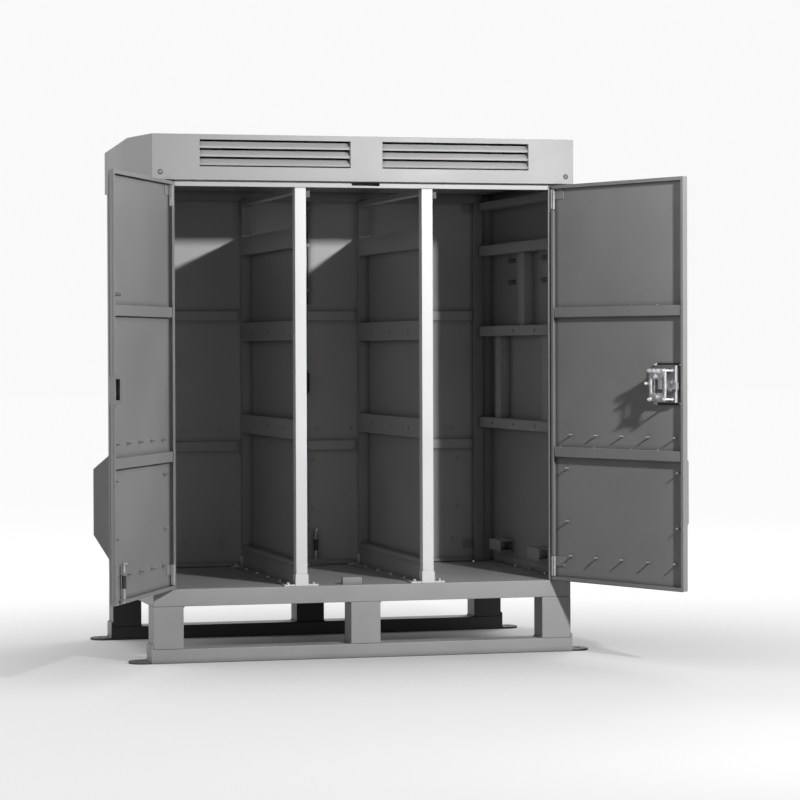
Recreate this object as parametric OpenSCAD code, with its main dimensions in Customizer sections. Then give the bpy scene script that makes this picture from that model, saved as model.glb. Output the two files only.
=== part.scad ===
// Roadside utility cabinet on a skid, with doors at the front and the rear.
// Millimetres. The origin is on the ground under the middle of the cabinet.
// X runs to the right of someone facing the front, the front faces -Y, Z is up.

/* [Body] */
// Width over the two side walls
body_w = 1518; // [1480:1:1700]
// Depth between the front and the rear frame faces
body_d = 966; // [860:1:1200]
// Thickness of the walls, pan, headers and hood
sheet = 3; // [2:0.5:4]
// Width of a jamb's face beside the door opening
jamb_w = 81; // [78:1:100]
// Depth of a jamb's return into the cabinet
jamb_d = 16; // [14:1:60]
// Width of the last fold of a jamb
jamb_fold = 36; // [30:1:44]
// Height of a header's face
header_h = 34; // [30:1:44]
// Depth of a header
header_d = 38; // [30:1:50]

/* [Skid] */
// Width of a bottom rail
rail_w = 98; // [80:1:120]
// Height of a bottom rail
rail_h = 50; // [40:1:70]
// Wall of the rail and leg tubes
tube_wall = 4; // [3:0.5:6]
// Width of a leg, across the front
leg_w = 107; // [80:1:140]
// Height of a leg
leg_h = 148; // [120:1:200]
// Thickness of the cheek on a rail's end
cheek_t = 7; // [5:0.5:10]
// Height of the cheek
cheek_h = 65; // [52:1:90]
// Reach of an anchor foot past the cheek
foot_len = 72; // [56:1:100]
// Thickness of an anchor foot
foot_t = 8; // [6:0.5:12]
// Diameter of an anchor hole
anchor_d = 20; // [14:1:24]

/* [Floor pan] */
// Height of the floor pan, with its turned-down edges
pan_h = 60; // [50:1:80]

/* [Hood] */
// How far the hood's front face stands out from the frame
hood_over = 33; // [30:1:60]
// Height of the hood's front face
hood_h = 158; // [150:1:200]
// Rise of the ridge over the eaves
ridge_rise = 21; // [10:1:40]
// How far the hood hangs below the top of the walls
hood_drop = 14; // [12:1:30]
// Gap between the top of a door and the hood's lower edge
hood_gap = 5; // [4:0.5:8]
// Width of the small fold along the hood's lower front edge
hood_fold = 8; // [5:0.5:9]
// Gap from the middle to a vent opening
vent_x = 58; // [40:1:90]
// Width of a vent opening
vent_w = 536; // [300:1:560]
// Height of a vent opening
vent_h = 93; // [72:1:100]
// Height of a vent opening's lower edge over the hood's edge
vent_z = 47; // [35:1:50]
// Blades in one louvre
blades = 3; // [2:1:4]
// Width of one blade
blade_w = 25; // [18:1:28]
// Tilt of a blade from upright
blade_tilt = 45; // [45:1:60]
// Width of the lip folded down along a blade's lower edge
blade_lip = 7; // [4:0.5:8]

/* [Dividers] */
// Distance of a divider from the middle
divider_x = 230; // [180:1:300]
// Side of a square upright
post = 40; // [30:1:50]
// Setback of an upright's outer face from the frame face
post_inset = 5; // [4:0.5:10]
// Places of the cross bars' lower edges, as shares of the door height
bar_share = [0.3645, 0.612, 0.8433]; // [0.2:0.0001:0.9]
// Height of a cross bar
bar_h = 69; // [40:1:80]
// Height of the slim bar under the headers
top_bar_h = 18; // [12:1:30]
// Height of a kick channel
kick_h = 82; // [60:1:100]
// Width of a kick channel's floor flange
kick_flange = 36; // [30:1:50]
// Width of a foot plate
foot_plate_w = 124; // [90:1:140]

/* [Side walls] */
// Places of the wall rails' lower edges, as shares of the door height
rail_share = [0.3738, 0.6241, 0.8454]; // [0.2:0.0001:0.9]
// Height of a wall rail
wall_rail_h = 38; // [25:1:50]
// How far the slim top rail hangs below the headers
top_rail_h = 28; // [16:1:50]
// Depth of a wall rail from the wall sheet
wall_rail_d = 56; // [53:1:60]
// Depth of a wall strut from the wall sheet
strut_d = 36; // [20:1:45]
// Width of a wall strut
strut_w = 72; // [40:1:90]
// Height of a socket's lower edge over the floor
socket_z = 58; // [40:1:120]
// Height of a socket
socket_h = 40; // [30:1:60]
// Length of a socket
socket_len = 142; // [100:1:160]

/* [Doors] */
// Height of a door
door_h = 1410; // [1200:1:1700]
// Thickness of a door over its returned edges
door_t = 20; // [19:0.5:22]
// Thickness of the door sheet
door_sheet = 2; // [1.5:0.5:2.5]
// Width of the lip round a door's inner face
lip_w = 12; // [11:0.5:12]
// How far a door's hinge edge laps over the jamb
door_lap = 14; // [13:1:20]
// Gap between the two doors of a pair
door_gap = 4; // [3:0.5:8]
// Gap between a door's lip and the frame
seal_gap = 1; // [1:0.1:1.4]
// Gap under a door
under_gap = 3; // [2:0.5:6]
// How far the front left door stands open
left_open = 116.5; // [0:0.5:120]
// How far the front right door stands open
right_open = 112.5; // [0:0.5:120]
// Height of a stiffener
stiff_h = 35; // [25:1:45]
// Depth of a stiffener from the door sheet
stiff_d = 16; // [10:1:16]
// Places of the stiffeners' lower edges, as shares of the door height
stiff_share = [0.3128, 0.666]; // [0.25:0.0001:0.75]
// Depth of a vent hood
vent_hood_d = 79; // [50:1:100]
// Height of a vent hood at the door, as a share of the door height
vent_hood_share = 0.285; // [0.2:0.001:0.29]
// Width of a vent hood's flange
vent_flange = 30; // [24:1:40]
// Diameter of a welded stud
stud_d = 6; // [4:0.5:8]
// Length of a welded stud
stud_len = 19; // [12:1:20]

/* [Hinges] */
// Height of a hinge
hinge_h = 70; // [60:1:90]
// Outer diameter of a hinge barrel
barrel_d = 16; // [15:0.5:16.5]
// Diameter of a hinge pin
pin_d = 8; // [6:0.5:9]
// Radial play of the hinge pins, latch shafts and bolts
play = 0.05; // [0.02:0.01:0.1]
// Thickness of a hinge leaf
leaf_t = 3; // [2.5:0.5:3]

/* [Latch] */
// Width of the latch dish
dish_w = 99; // [96:1:104]
// Height of the latch dish
dish_h = 127; // [110:1:140]
// Depth of the latch dish from the outer face
dish_d = 22; // [20:1:22]
// Distance of the latch shaft from the door's free edge
latch_in = 87.5; // [86:0.5:92]
// Place of the latch shaft, as a share of the door height
latch_share = 0.5; // [0.45:0.001:0.55]
// Radius of the crank pin on the latch shaft
crank_r = 20; // [18:0.5:21]
// Diameter of the latch shaft
shaft_d = 12; // [10:0.5:14]
// Turn of the latch handle from shut to open
latch_turn = 90; // [60:1:90]
// Height of the latch bolt
latch_bolt_h = 24; // [20:1:26]
// Depth of the latch bolt
latch_bolt_d = 12; // [12:1:14]
// Width of the latch gasket's band
gasket_w = 8; // [5:0.5:9]
// How far the latch bolt enters the other door's edge
latch_grip = 6.5; // [5:0.5:9]
// Thickness of the keeper and the slide bolt plates
plate_t = 3; // [2:0.5:3]

/* [Slide bolts] */
// Diameter of a bottom bolt
bottom_d = 10; // [8:1:12]
// Drop of a bottom bolt
bottom_drop = 24; // [18:1:24]
// Distance of a bottom bolt from the middle of the cabinet
bottom_x = 42; // [38:1:60]
// Diameter of a top bolt
top_d = 12; // [10:1:13]
// Distance of a top bolt from the middle of the cabinet
top_x = 24; // [24:1:30]
// Length of a top bolt, as a share of the door height
top_share = 0.272; // [0.2:0.001:0.3]
// Clear space round a bolt in its strike
strike_play = 2.5; // [1:0.5:4]

/* [Hidden] */
$fn = 48;
half_w = body_w / 2;
half_d = body_d / 2;
pan_z = rail_h + leg_h;
floor_z = pan_z + pan_h;
door_z = floor_z + under_gap;
door_top = door_z + door_h;
hood_z = door_top + hood_gap;
wall_top = hood_z + hood_drop;
wall_h = wall_top - floor_z;
header_z = wall_top - header_h;
opening_w = body_w - 2 * jamb_w;
rail_y = half_d - rail_w / 2;
foot_x = half_w + cheek_t;
anchor_x = foot_x + foot_len / 2;
hood_w = body_w + 2 * sheet;
hood_d = body_d + 2 * hood_over;
bar_z = [for (share = bar_share) share * door_h];
rail_z = [for (share = rail_share) share * door_h];
post_y = half_d - post_inset - post / 2;
post_h = header_z - floor_z;
bar_len = body_d - 2 * (post_inset + post);
wall_clear = body_d - 2 * jamb_d;
// The doors hang on pivots a little in front of the frame, so their outer corners clear the jambs.
pivot_v = 11;
door_v = door_t + seal_gap;
pivot_y = half_d + door_v - pivot_v;
pivot_x = opening_w / 2 + door_lap;
door_w = pivot_x - door_gap / 2;
hinge_z = [door_z + lip_w + 2, door_top - lip_w - 2 - hinge_h];
half_hinge = (hinge_h - 0.5) / 2;
stiff_z = [for (share = stiff_share) door_z + share * door_h];
latch_u = door_w - latch_in;
shaft_z = door_z + latch_share * door_h;
// A vent hood and its studs sit between margins at the hinge edge and the free edge.
vent_u0 = 0.1377 * door_w;
vent_u1 = 0.8855 * door_w;
stud_u0 = 0.1377 * door_w;
stud_u1 = 0.9217 * door_w;
side_stud_u = [0.1087 * door_w, 0.948 * door_w];
vent_z0 = door_z + 0.0738 * door_h;
vent_hood_h = vent_hood_share * door_h;
bolt_v = dish_d + 2;
latch_throw = 2 * crank_r * sin(latch_turn / 2);
bolt_reach = latch_in + door_gap + latch_grip - latch_throw / 2;
bottom_u = pivot_x - bottom_x;
bottom_v = 36;
bottom_z = door_z + 9;
top_u = pivot_x - top_x;
top_v = 10;
top_tip = door_top + 0.6 * hood_gap;
top_low = top_tip - top_share * door_h;

// A box between two opposite corners.
module span(a, b) {
    translate(a)
        cube(b - a);
}

// A rod along Z.
module rod(d, z0, z1) {
    translate([0, 0, z0])
        cylinder(d = d, h = z1 - z0);
}

// A rod along Y, from y0 to y1.
module cross_rod(d, y0, y1) {
    translate([0, y0, 0])
        rotate([-90, 0, 0])
            cylinder(d = d, h = y1 - y0);
}

// The front half and its copy turned half round to the rear.
module both_ends() {
    for (turn = [0, 180])
        rotate([0, 0, turn])
            children();
}

// Left and right.
module both_sides() {
    for (side = [0, 1])
        mirror([side, 0, 0])
            children();
}

// Puts a bolt door's piece, drawn shut with its hinge edge at x = 0 and its outer face at y = 0,
// on the pivot of the front left door, or of the rear door diagonally across.
module on_bolt_door(rear) {
    rotate([0, 0, rear ? 180 : 0])
        translate([-pivot_x, -pivot_y, 0])
            rotate([0, 0, rear ? 0 : -left_open])
                translate([0, -pivot_v, 0])
                    children();
}

// The same for a latch door, which is the other hand.
module on_latch_door(rear) {
    rotate([0, 0, rear ? 180 : 0])
        mirror([1, 0, 0])
            translate([-pivot_x, -pivot_y, 0])
                rotate([0, 0, rear ? 0 : -right_open])
                    translate([0, -pivot_v, 0])
                        children();
}

module skid_rails() {
    color("dimgray")
        both_ends() {
            difference() {
                span([-half_w, -half_d, 0], [half_w, -half_d + rail_w, rail_h]);
                span([-half_w - 1, -half_d + tube_wall, tube_wall],
                    [half_w + 1, -half_d + rail_w - tube_wall, rail_h - tube_wall]);
            }
            both_sides()
                span([half_w, -half_d, 0], [foot_x, -half_d + rail_w, cheek_h]);
        }
}

module skid_legs() {
    color("gray")
        both_ends()
            for (x = [-half_w, -leg_w / 2, half_w - leg_w])
                difference() {
                    span([x, -half_d, rail_h], [x + leg_w, -half_d + rail_w, pan_z]);
                    span([x + tube_wall, -half_d + tube_wall, rail_h - 1],
                        [x + leg_w - tube_wall, -half_d + rail_w - tube_wall, pan_z + 1]);
                }
}

module anchor_feet() {
    color("dimgray")
        both_ends()
            both_sides()
                difference() {
                    union() {
                        span([foot_x, -half_d, 0], [foot_x + foot_len - rail_w / 2, -rail_y + rail_w / 2, foot_t]);
                        translate([foot_x + foot_len - rail_w / 2, -rail_y, 0])
                            cylinder(d = rail_w, h = foot_t);
                    }
                    translate([anchor_x, -rail_y, -1])
                        cylinder(d = anchor_d, h = foot_t + 2);
                    span([foot_x - rail_w, -half_d - 1, -1], [foot_x, -half_d + rail_w + 1, foot_t + 1]);
                }
}

module floor_pan() {
    color("silver")
        difference() {
            span([-half_w, -half_d, pan_z], [half_w, half_d, floor_z]);
            span([-half_w + sheet, -half_d + sheet, pan_z - 1],
                [half_w - sheet, half_d - sheet, floor_z - sheet]);
            // holes that the bottom bolts drop through
            both_ends()
                translate([-bottom_x, -half_d - door_v + bottom_v, floor_z - 10])
                    cylinder(d = bottom_d + 2 * strike_play, h = 20);
        }
}

// One side wall in plan: the outer sheet, then each end folded round into a door jamb.
module wall_plan() {
    translate([half_w - sheet, -half_d])
        square([sheet, body_d]);
    for (end = [0, 1])
        mirror([0, end]) {
            translate([half_w - jamb_w, -half_d])
                square([jamb_w, sheet]);
            translate([half_w - jamb_w, -half_d])
                square([sheet, jamb_d]);
            translate([half_w - jamb_w, -half_d + jamb_d - sheet])
                square([jamb_fold, sheet]);
        }
}

module right_wall() {
    color("lightgray")
        translate([0, 0, floor_z])
            linear_extrude(wall_h)
                wall_plan();
}

module left_wall() {
    color("lightgray")
        translate([0, 0, floor_z])
            linear_extrude(wall_h)
                mirror([1, 0])
                    wall_plan();
}

// A folded strip over a door opening, with a notch over the doors' meeting edges.
module header() {
    difference() {
        span([-opening_w / 2, -half_d, header_z], [opening_w / 2, -half_d + header_d, wall_top]);
        span([-opening_w / 2 - 1, -half_d + sheet, header_z + sheet],
            [opening_w / 2 + 1, -half_d + header_d - sheet, wall_top + 1]);
        span([-45, -half_d - 1, header_z + 7], [55, -half_d + sheet + 1, header_z + 19]);
    }
}

module front_header() {
    color("gainsboro")
        header();
}

module rear_header() {
    color("gainsboro")
        rotate([0, 0, 180])
            header();
}

module ceiling_panel() {
    color("darkgray")
        span([-half_w + sheet, -half_d + sheet, wall_top], [half_w - sheet, half_d - sheet, wall_top + sheet]);
}

// The hood's section from front to rear, drawn inset by a sheet thickness t.
module hood_section(t, z0) {
    polygon([[-hood_d / 2 + t, z0], [hood_d / 2 - t, z0], [hood_d / 2 - t, hood_h - t],
        [0, hood_h + ridge_rise - t], [-hood_d / 2 + t, hood_h - t]]);
}

module roof_hood() {
    color("whitesmoke")
        difference() {
            translate([-hood_w / 2, 0, hood_z])
                rotate([90, 0, 90])
                    linear_extrude(hood_w)
                        hood_section(0, 0);
            translate([-hood_w / 2 + sheet, 0, hood_z])
                rotate([90, 0, 90])
                    linear_extrude(hood_w - 2 * sheet)
                        hood_section(sheet, sheet);
            // the open underside, inside the small folds along the front and rear edges
            span([-hood_w / 2 + sheet, -hood_d / 2 + hood_fold + sheet, hood_z - 1],
                [hood_w / 2 - sheet, hood_d / 2 - hood_fold - sheet, hood_z + 2 * sheet]);
            both_sides()
                span([vent_x, -hood_d / 2 - 1, hood_z + vent_z],
                    [vent_x + vent_w, -hood_d / 2 + sheet + 1, hood_z + vent_z + vent_h]);
        }
}

module front_louvres() {
    frame = 12;
    y = -hood_d / 2 + sheet;
    z = hood_z + vent_z;
    color("darkgray")
        both_sides() {
            difference() {
                span([vent_x - frame, y, z - frame], [vent_x + vent_w + frame, y + 2, z + vent_h + frame]);
                span([vent_x, y - 1, z], [vent_x + vent_w, y + 3, z + vent_h]);
            }
            for (x = [vent_x - 2, vent_x + vent_w])
                span([x, y, z - 2], [x + 2, y + blade_w, z + vent_h + 2]);
            // each blade rises inwards from its lower front edge, where a lip turns down and in
            for (i = [0 : blades - 1])
                translate([vent_x - 1, y + 1, z + blade_lip + 3 + i * (vent_h - 4) / blades]) {
                    rotate([-blade_tilt, 0, 0])
                        cube([vent_w + 2, 2, blade_w]);
                    rotate([-160, 0, 0])
                        translate([0, -2, -1])
                            cube([vent_w + 2, 2, blade_lip]);
                }
        }
}

module hood_screws() {
    color("gray")
        both_ends()
            both_sides()
                translate([hood_w / 2 - 29, -hood_d / 2, hood_z + 26])
                    cross_rod(15, -4, 0);
}

// A square tube upright.
module upright(x, y) {
    difference() {
        span([x - post / 2, y - post / 2, floor_z], [x + post / 2, y + post / 2, floor_z + post_h]);
        span([x - post / 2 + sheet, y - post / 2 + sheet, floor_z - 1],
            [x + post / 2 - sheet, y + post / 2 - sheet, floor_z + post_h + 1]);
    }
}

module divider_front_posts() {
    color("lightgray")
        for (side = [-1, 1])
            upright(side * divider_x, -post_y);
}

module divider_rear_posts() {
    color("lightgray")
        for (side = [-1, 1])
            upright(side * divider_x, post_y);
}

// Channels between the uprights, open towards the panel side.
module divider_bars() {
    color("darkgray")
        for (side = [-1, 1])
            translate([side * divider_x - post / 2, -bar_len / 2, 0]) {
                for (z = bar_z)
                    difference() {
                        span([0, 0, floor_z + z], [post - sheet, bar_len, floor_z + z + bar_h]);
                        span([sheet, -1, floor_z + z + sheet],
                            [post, bar_len + 1, floor_z + z + bar_h - sheet]);
                    }
                span([0, 0, header_z - top_bar_h], [post - sheet, bar_len, header_z]);
            }
}

module divider_panels() {
    color("dimgray")
        for (side = [-1, 1])
            span([side * divider_x + post / 2 - sheet, -bar_len / 2, floor_z + kick_h],
                [side * divider_x + post / 2, bar_len / 2, floor_z + bar_z[2] + bar_h]);
}

// A folded channel on the floor under each divider, with a bolted flange to one side.
module divider_kicks() {
    color("darkgray")
        for (side = [-1, 1])
            translate([side * divider_x - post / 2, -bar_len / 2, floor_z])
                difference() {
                    union() {
                        span([0, 0, 0], [post, bar_len, kick_h]);
                        span([-kick_flange, 0, 0], [1, bar_len, sheet]);
                        span([-4, 0, kick_h - 18], [1, bar_len, kick_h - 15]);
                    }
                    span([sheet, -1, -1], [post - sheet, bar_len + 1, kick_h - sheet]);
                }
}

// A plate and a sleeve round the foot of each upright.
module post_feet() {
    sleeve = post + 2 * sheet;
    color("gray")
        for (x = [-divider_x, divider_x])
            for (end = [0, 180])
                rotate([0, 0, end])
                    translate([x, -post_y, 0])
                        difference() {
                            union() {
                                span([-foot_plate_w / 2, -post / 2, floor_z], [foot_plate_w / 2, post / 2 - 2, floor_z + 6]);
                                span([-sleeve / 2, -post / 2 - sheet, floor_z], [sleeve / 2, post / 2 - 2, floor_z + 42]);
                            }
                            span([-post / 2, -post / 2, floor_z - 1], [post / 2, post / 2, floor_z + 50]);
                        }
}

// A channel along a wall between the jambs, open towards the wall sheet.
module wall_channel(z0, z1) {
    x = half_w - sheet - wall_rail_d;
    difference() {
        span([x, -wall_clear / 2, z0], [half_w - sheet, wall_clear / 2, z1]);
        span([x + sheet, -wall_clear / 2 - 1, z0 + sheet], [half_w, wall_clear / 2 + 1, z1 - sheet]);
    }
}

// Three rails along each wall and a slim one at the height of the headers.
module side_wall_rails() {
    color("darkgray")
        both_ends() {
            for (z = rail_z)
                wall_channel(floor_z + z, floor_z + z + wall_rail_h);
            wall_channel(header_z - top_rail_h, header_z);
        }
}

// A short upright channel on the wall between two rails, centred at y.
module strut(y, z0, z1) {
    x = half_w - sheet - strut_d;
    difference() {
        span([x, y - strut_w / 2, floor_z + z0], [half_w - sheet, y + strut_w / 2, floor_z + z1]);
        span([x + sheet, y - strut_w / 2 + sheet, floor_z + z0 - 1],
            [half_w, y + strut_w / 2 - sheet, floor_z + z1 + 1]);
    }
}

module wall_struts() {
    color("gray")
        both_ends() {
            strut(-0.023 * body_d, rail_z[1] + wall_rail_h, rail_z[2]);
            strut(0.292 * body_d, rail_z[0] + wall_rail_h, rail_z[1]);
            strut(-0.319 * body_d, rail_z[0] + wall_rail_h, rail_z[1]);
        }
}

// Open-ended box tubes low on the walls.
module side_sockets() {
    x = half_w - sheet - wall_rail_d;
    color("gray")
        both_ends()
            for (y = [-0.228 * body_d, 0.278 * body_d])
                difference() {
                    span([x, y - socket_len / 2, floor_z + socket_z],
                        [half_w - sheet, y + socket_len / 2, floor_z + socket_z + socket_h]);
                    span([x + sheet, y - socket_len, floor_z + socket_z + sheet],
                        [half_w - 2 * sheet, y + socket_len, floor_z + socket_z + socket_h - sheet]);
                }
}

module floor_stops() {
    color("silver")
        both_ends()
            span([-bottom_x - 35, -half_d - door_v + bottom_v + 13, floor_z],
                [-bottom_x + 35, -half_d - door_v + bottom_v + 45, floor_z + 25]);
}

// Drilled tabs on the headers that the top bolts rise into.
module bolt_strikes() {
    color("silver")
        both_ends()
            difference() {
                span([-top_x - 36, -half_d - door_v + 1, hood_z + 1], [-top_x + 34, -half_d, hood_z + 4]);
                translate([-top_x, -half_d - door_v + top_v, hood_z])
                    cylinder(d = top_d + 2 * strike_play, h = 5);
            }
}

// Six-sided heads on the kick flanges and the foot plates.
module floor_bolts() {
    color("gainsboro") {
        for (side = [-1, 1])
            for (y = [-0.3, -0.1, 0.1, 0.3] * body_d)
                translate([side * divider_x - post / 2 - kick_flange / 2, y, floor_z + sheet])
                    cylinder(d = 16, h = 7, $fn = 6);
        for (x = [-divider_x, divider_x])
            for (end = [-1, 1])
                for (side = [-1, 1])
                    translate([x + side * (foot_plate_w / 2 - 16), end * post_y, floor_z + 6])
                        cylinder(d = 16, h = 7, $fn = 6);
    }
}

// The jamb's half of a lift-off hinge: leaf, barrel and pin, in a shut door's frame.
module fixed_hinge(z) {
    span([-43, door_v - leaf_t, z], [4, door_v, z + half_hinge]);
    translate([0, pivot_v, 0]) {
        rod(barrel_d, z, z + half_hinge);
        rod(pin_d, z, z + hinge_h - 2);
    }
}

module hinge_brackets() {
    color("gainsboro")
        both_ends()
            both_sides()
                translate([-pivot_x, -pivot_y - pivot_v, 0])
                    for (z = hinge_z)
                        fixed_hinge(z);
}

// A door pan: sheet with returned edges and lips, notched round the hinges, with welded studs.
module door_pan(low_studs) {
    difference() {
        translate([0, 0, door_z])
            cube([door_w, door_t, door_h]);
        translate([door_sheet, door_sheet, door_z + door_sheet])
            cube([door_w - 2 * door_sheet, door_t - 2 * door_sheet, door_h - 2 * door_sheet]);
        translate([lip_w, door_sheet, door_z + lip_w])
            cube([door_w - 2 * lip_w, door_t, door_h - 2 * lip_w]);
        for (z = hinge_z)
            span([-1, door_sheet, z - 4], [10, door_t + 1, z + hinge_h + 4]);
    }
    studs(low_studs);
}

// Studs that hold the vent hood: two rows and two at each side. A bottom bolt's plate takes the
// place of one stud.
module studs(low_studs) {
    in = vent_flange / 2;
    step = (stud_u1 - stud_u0) / 4;
    for (i = [0 : low_studs - 1])
        stud(stud_u0 + i * step, vent_z0 - in);
    for (i = [0 : 4])
        stud(stud_u0 + i * step, vent_z0 + vent_hood_h + in);
    for (u = side_stud_u)
        for (z = [vent_z0 + 0.27 * vent_hood_h, vent_z0 + 0.74 * vent_hood_h])
            stud(u, z);
}

module stud(u, z) {
    translate([u, 0, z])
        cross_rod(stud_d, door_sheet / 2, door_sheet + stud_len);
}

module latch_door() {
    difference() {
        door_pan(5);
        span([latch_u - dish_w / 2 - 0.5, -1, shaft_z - dish_h / 2 - 0.5],
            [latch_u + dish_w / 2 + 0.5, door_sheet + 1, shaft_z + dish_h / 2 + 0.5]);
    }
}

module bolt_door() {
    difference() {
        door_pan(4);
        translate([top_u, top_v, door_top - 5])
            cylinder(d = top_d + 2, h = 10);
    }
}

// Two channels across a door, open towards its sheet.
module stiffeners() {
    for (z = stiff_z)
        difference() {
            span([lip_w + 3, door_sheet, z], [door_w - lip_w - 3, door_sheet + stiff_d, z + stiff_h]);
            span([lip_w, 0, z + 2], [door_w - lip_w, door_sheet + stiff_d - 2, z + stiff_h - 2]);
        }
}

// A closed hood on a door's outer face: flange, sloped top and bottom, flat front.
module vent_hood() {
    low = 0.3 * vent_hood_h;
    high = 0.835 * vent_hood_h;
    outside = [[0, 0], [0, vent_hood_h], [-vent_hood_d, high], [-vent_hood_d, low]];
    inside = [[1, 4], [1, vent_hood_h - 4], [2 - vent_hood_d, high - 2], [2 - vent_hood_d, low + 2]];
    wide = vent_u1 - vent_u0;
    difference() {
        union() {
            span([side_stud_u[0] - vent_flange / 2, -2, vent_z0 - vent_flange],
                [side_stud_u[1] + vent_flange / 2, 0, vent_z0 + vent_hood_h + vent_flange]);
            translate([vent_u0, 0, vent_z0])
                rotate([90, 0, 90])
                    linear_extrude(wide)
                        polygon(outside);
        }
        translate([vent_u0 + 2, 0, vent_z0])
            rotate([90, 0, 90])
                linear_extrude(wide - 4)
                    polygon(inside);
    }
}

// The door's half of the hinges: sleeve over the pin and leaf on the door sheet.
module moving_hinges() {
    for (z = hinge_z)
        difference() {
            union() {
                span([0, door_sheet, z + hinge_h - half_hinge], [52, door_sheet + leaf_t, z + hinge_h]);
                translate([0, pivot_v, 0])
                    rod(barrel_d, z + hinge_h - half_hinge, z + hinge_h);
            }
            translate([0, pivot_v, 0])
                rod(pin_d + 2 * play, z, z + hinge_h + 1);
        }
}

// A recessed dish with a rim on the door's outer face and a bore for the handle's shaft.
module latch_dish() {
    translate([latch_u, 0, shaft_z])
        difference() {
            union() {
                span([-dish_w / 2 - 12, -2, -dish_h / 2 - 12], [dish_w / 2 + 12, 0, dish_h / 2 + 12]);
                span([-dish_w / 2, -2, -dish_h / 2], [dish_w / 2, dish_d, dish_h / 2]);
            }
            span([-dish_w / 2 + 2, -3, -dish_h / 2 + 2], [dish_w / 2 - 2, dish_d - 2, dish_h / 2 - 2]);
            cross_rod(shaft_d + 2 * play, 0, dish_d + 1);
        }
}

module latch_gasket() {
    gap = 0.5;
    translate([latch_u, 0, shaft_z])
        difference() {
            span([-dish_w / 2 - gap - gasket_w, door_sheet, -dish_h / 2 - gap - gasket_w],
                [dish_w / 2 + gap + gasket_w, door_sheet + 4, dish_h / 2 + gap + gasket_w]);
            span([-dish_w / 2 - gap, 0, -dish_h / 2 - gap], [dish_w / 2 + gap, 10, dish_h / 2 + gap]);
        }
}

// Two lipped rails that hold the bolt, and the case of its spring beside the crank.
module latch_guide() {
    h = latch_bolt_h / 2 + 0.5;
    v = bolt_v + latch_bolt_d + 0.5;
    translate([latch_u, 0, shaft_z - 5.5]) {
        difference() {
            span([31, dish_d, -h - 6], [47, v + 2.5, h + 6]);
            span([30, dish_d - 1, -h], [48, v, h]);
            span([30, v - 1, -h + 3], [48, v + 4, h - 3]);
        }
        difference() {
            span([-47, dish_d, -40], [-26, dish_d + 26, 44]);
            span([-44, dish_d - 1, -37], [-20, dish_d + 23, 41]);
        }
    }
}

// A sliding bolt with a slotted tail that the crank pin drives, moved along by its throw.
module latch_bolt(shift) {
    h = latch_bolt_h / 2;
    slot = 7.6;
    tail_v = bolt_v + latch_bolt_d - 6;
    translate([latch_u + shift, 0, shaft_z - 5.5])
        difference() {
            union() {
                span([34, bolt_v, -h], [bolt_reach, bolt_v + latch_bolt_d, h]);
                span([-10, tail_v, -h], [36, tail_v + 6, h]);
                span([-10, tail_v, 0], [10, tail_v + 6, crank_r + 14]);
            }
            span([-slot / 2, bolt_v, crank_r * cos(latch_turn / 2) + 1.5], [slot / 2, tail_v + 9, crank_r + 10]);
        }
}

// A T handle in the dish, its shaft, and the crank on the inner end with its pin.
module latch_handle(turn) {
    translate([latch_u, 0, shaft_z])
        rotate([0, turn, 0]) {
            rotate([0, -latch_turn / 2, 0])
                span([-9, 4, -42], [9, 15, 42]);
            cross_rod(shaft_d, 10, dish_d + 4);
            span([-8, dish_d + 1.5, -8], [8, dish_d + 6.5, crank_r + 6]);
            translate([0, 0, crank_r])
                cross_rod(6, dish_d + 3, bolt_v + latch_bolt_d);
        }
}

// A slotted plate that stands inwards on the free edge of a bolt door. The latch bolt enters it.
module keeper() {
    z = shaft_z - 5.5;
    difference() {
        union() {
            span([door_w - lip_w - 2, door_t, z - 50], [door_w, door_t + plate_t, z + 50]);
            translate([door_w - plate_t, 0, z])
                rotate([90, 0, 90])
                    linear_extrude(plate_t)
                        polygon([[door_t, -50], [door_t + 13, -50], [door_t + 32, -24], [door_t + 32, 24],
                            [door_t + 13, 50], [door_t, 50]]);
        }
        span([door_w - 2 * plate_t, bolt_v - 1, z - 34], [door_w + 1, bolt_v + latch_bolt_d + 1.5, z + 34]);
    }
}

// Two drilled ears on a plate for the bottom bolt, and three drilled blocks for the top bolt.
module slide_brackets() {
    z = bottom_z;
    difference() {
        union() {
            span([bottom_u - 9, door_t, z + 5], [door_w, door_t + plate_t, z + 121]);
            for (ear = [z + 6, z + 90])
                span([bottom_u - 9, door_t, ear], [bottom_u + 9, bottom_v + bottom_d / 2 + 3, ear + 6]);
        }
        translate([bottom_u, bottom_v, 0])
            rod(bottom_d + 2 * play, z, z + 200);
    }
    for (block = [top_low + 20, (top_low + top_tip) / 2, top_tip - 50])
        difference() {
            span([top_u - 10, door_sheet, block], [top_u + 9.5, top_v + 9, block + 14]);
            translate([top_u, top_v, 0])
                rod(top_d + 2 * play, block - 1, block + 15);
        }
}

// A rod with a stop collar and a bent top, which drops through the floor.
module bottom_bolt() {
    translate([bottom_u, bottom_v, 0]) {
        rod(bottom_d, bottom_z, bottom_z + 126 + bottom_d / 2);
        rod(bottom_d + 5, bottom_z + 45, bottom_z + 87);
        translate([0, 0, bottom_z + 126])
            cross_rod(bottom_d, 0, 16);
    }
}

// A rod inside the door's edge with a bent lower end, which rises into the strike.
module top_bolt() {
    translate([top_u, top_v, 0]) {
        rod(top_d, top_low - 28, top_tip);
        translate([0, 0, top_low - 22])
            cross_rod(top_d, 0, 28);
    }
}

module front_left_door() {
    color("lightgray")
        on_bolt_door(false)
            bolt_door();
}

module front_left_stiffeners() {
    color("darkgray")
        on_bolt_door(false)
            stiffeners();
}

module front_left_vent_hood() {
    color("silver")
        on_bolt_door(false)
            vent_hood();
}

module front_left_hinges() {
    color("gainsboro")
        on_bolt_door(false)
            moving_hinges();
}

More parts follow.
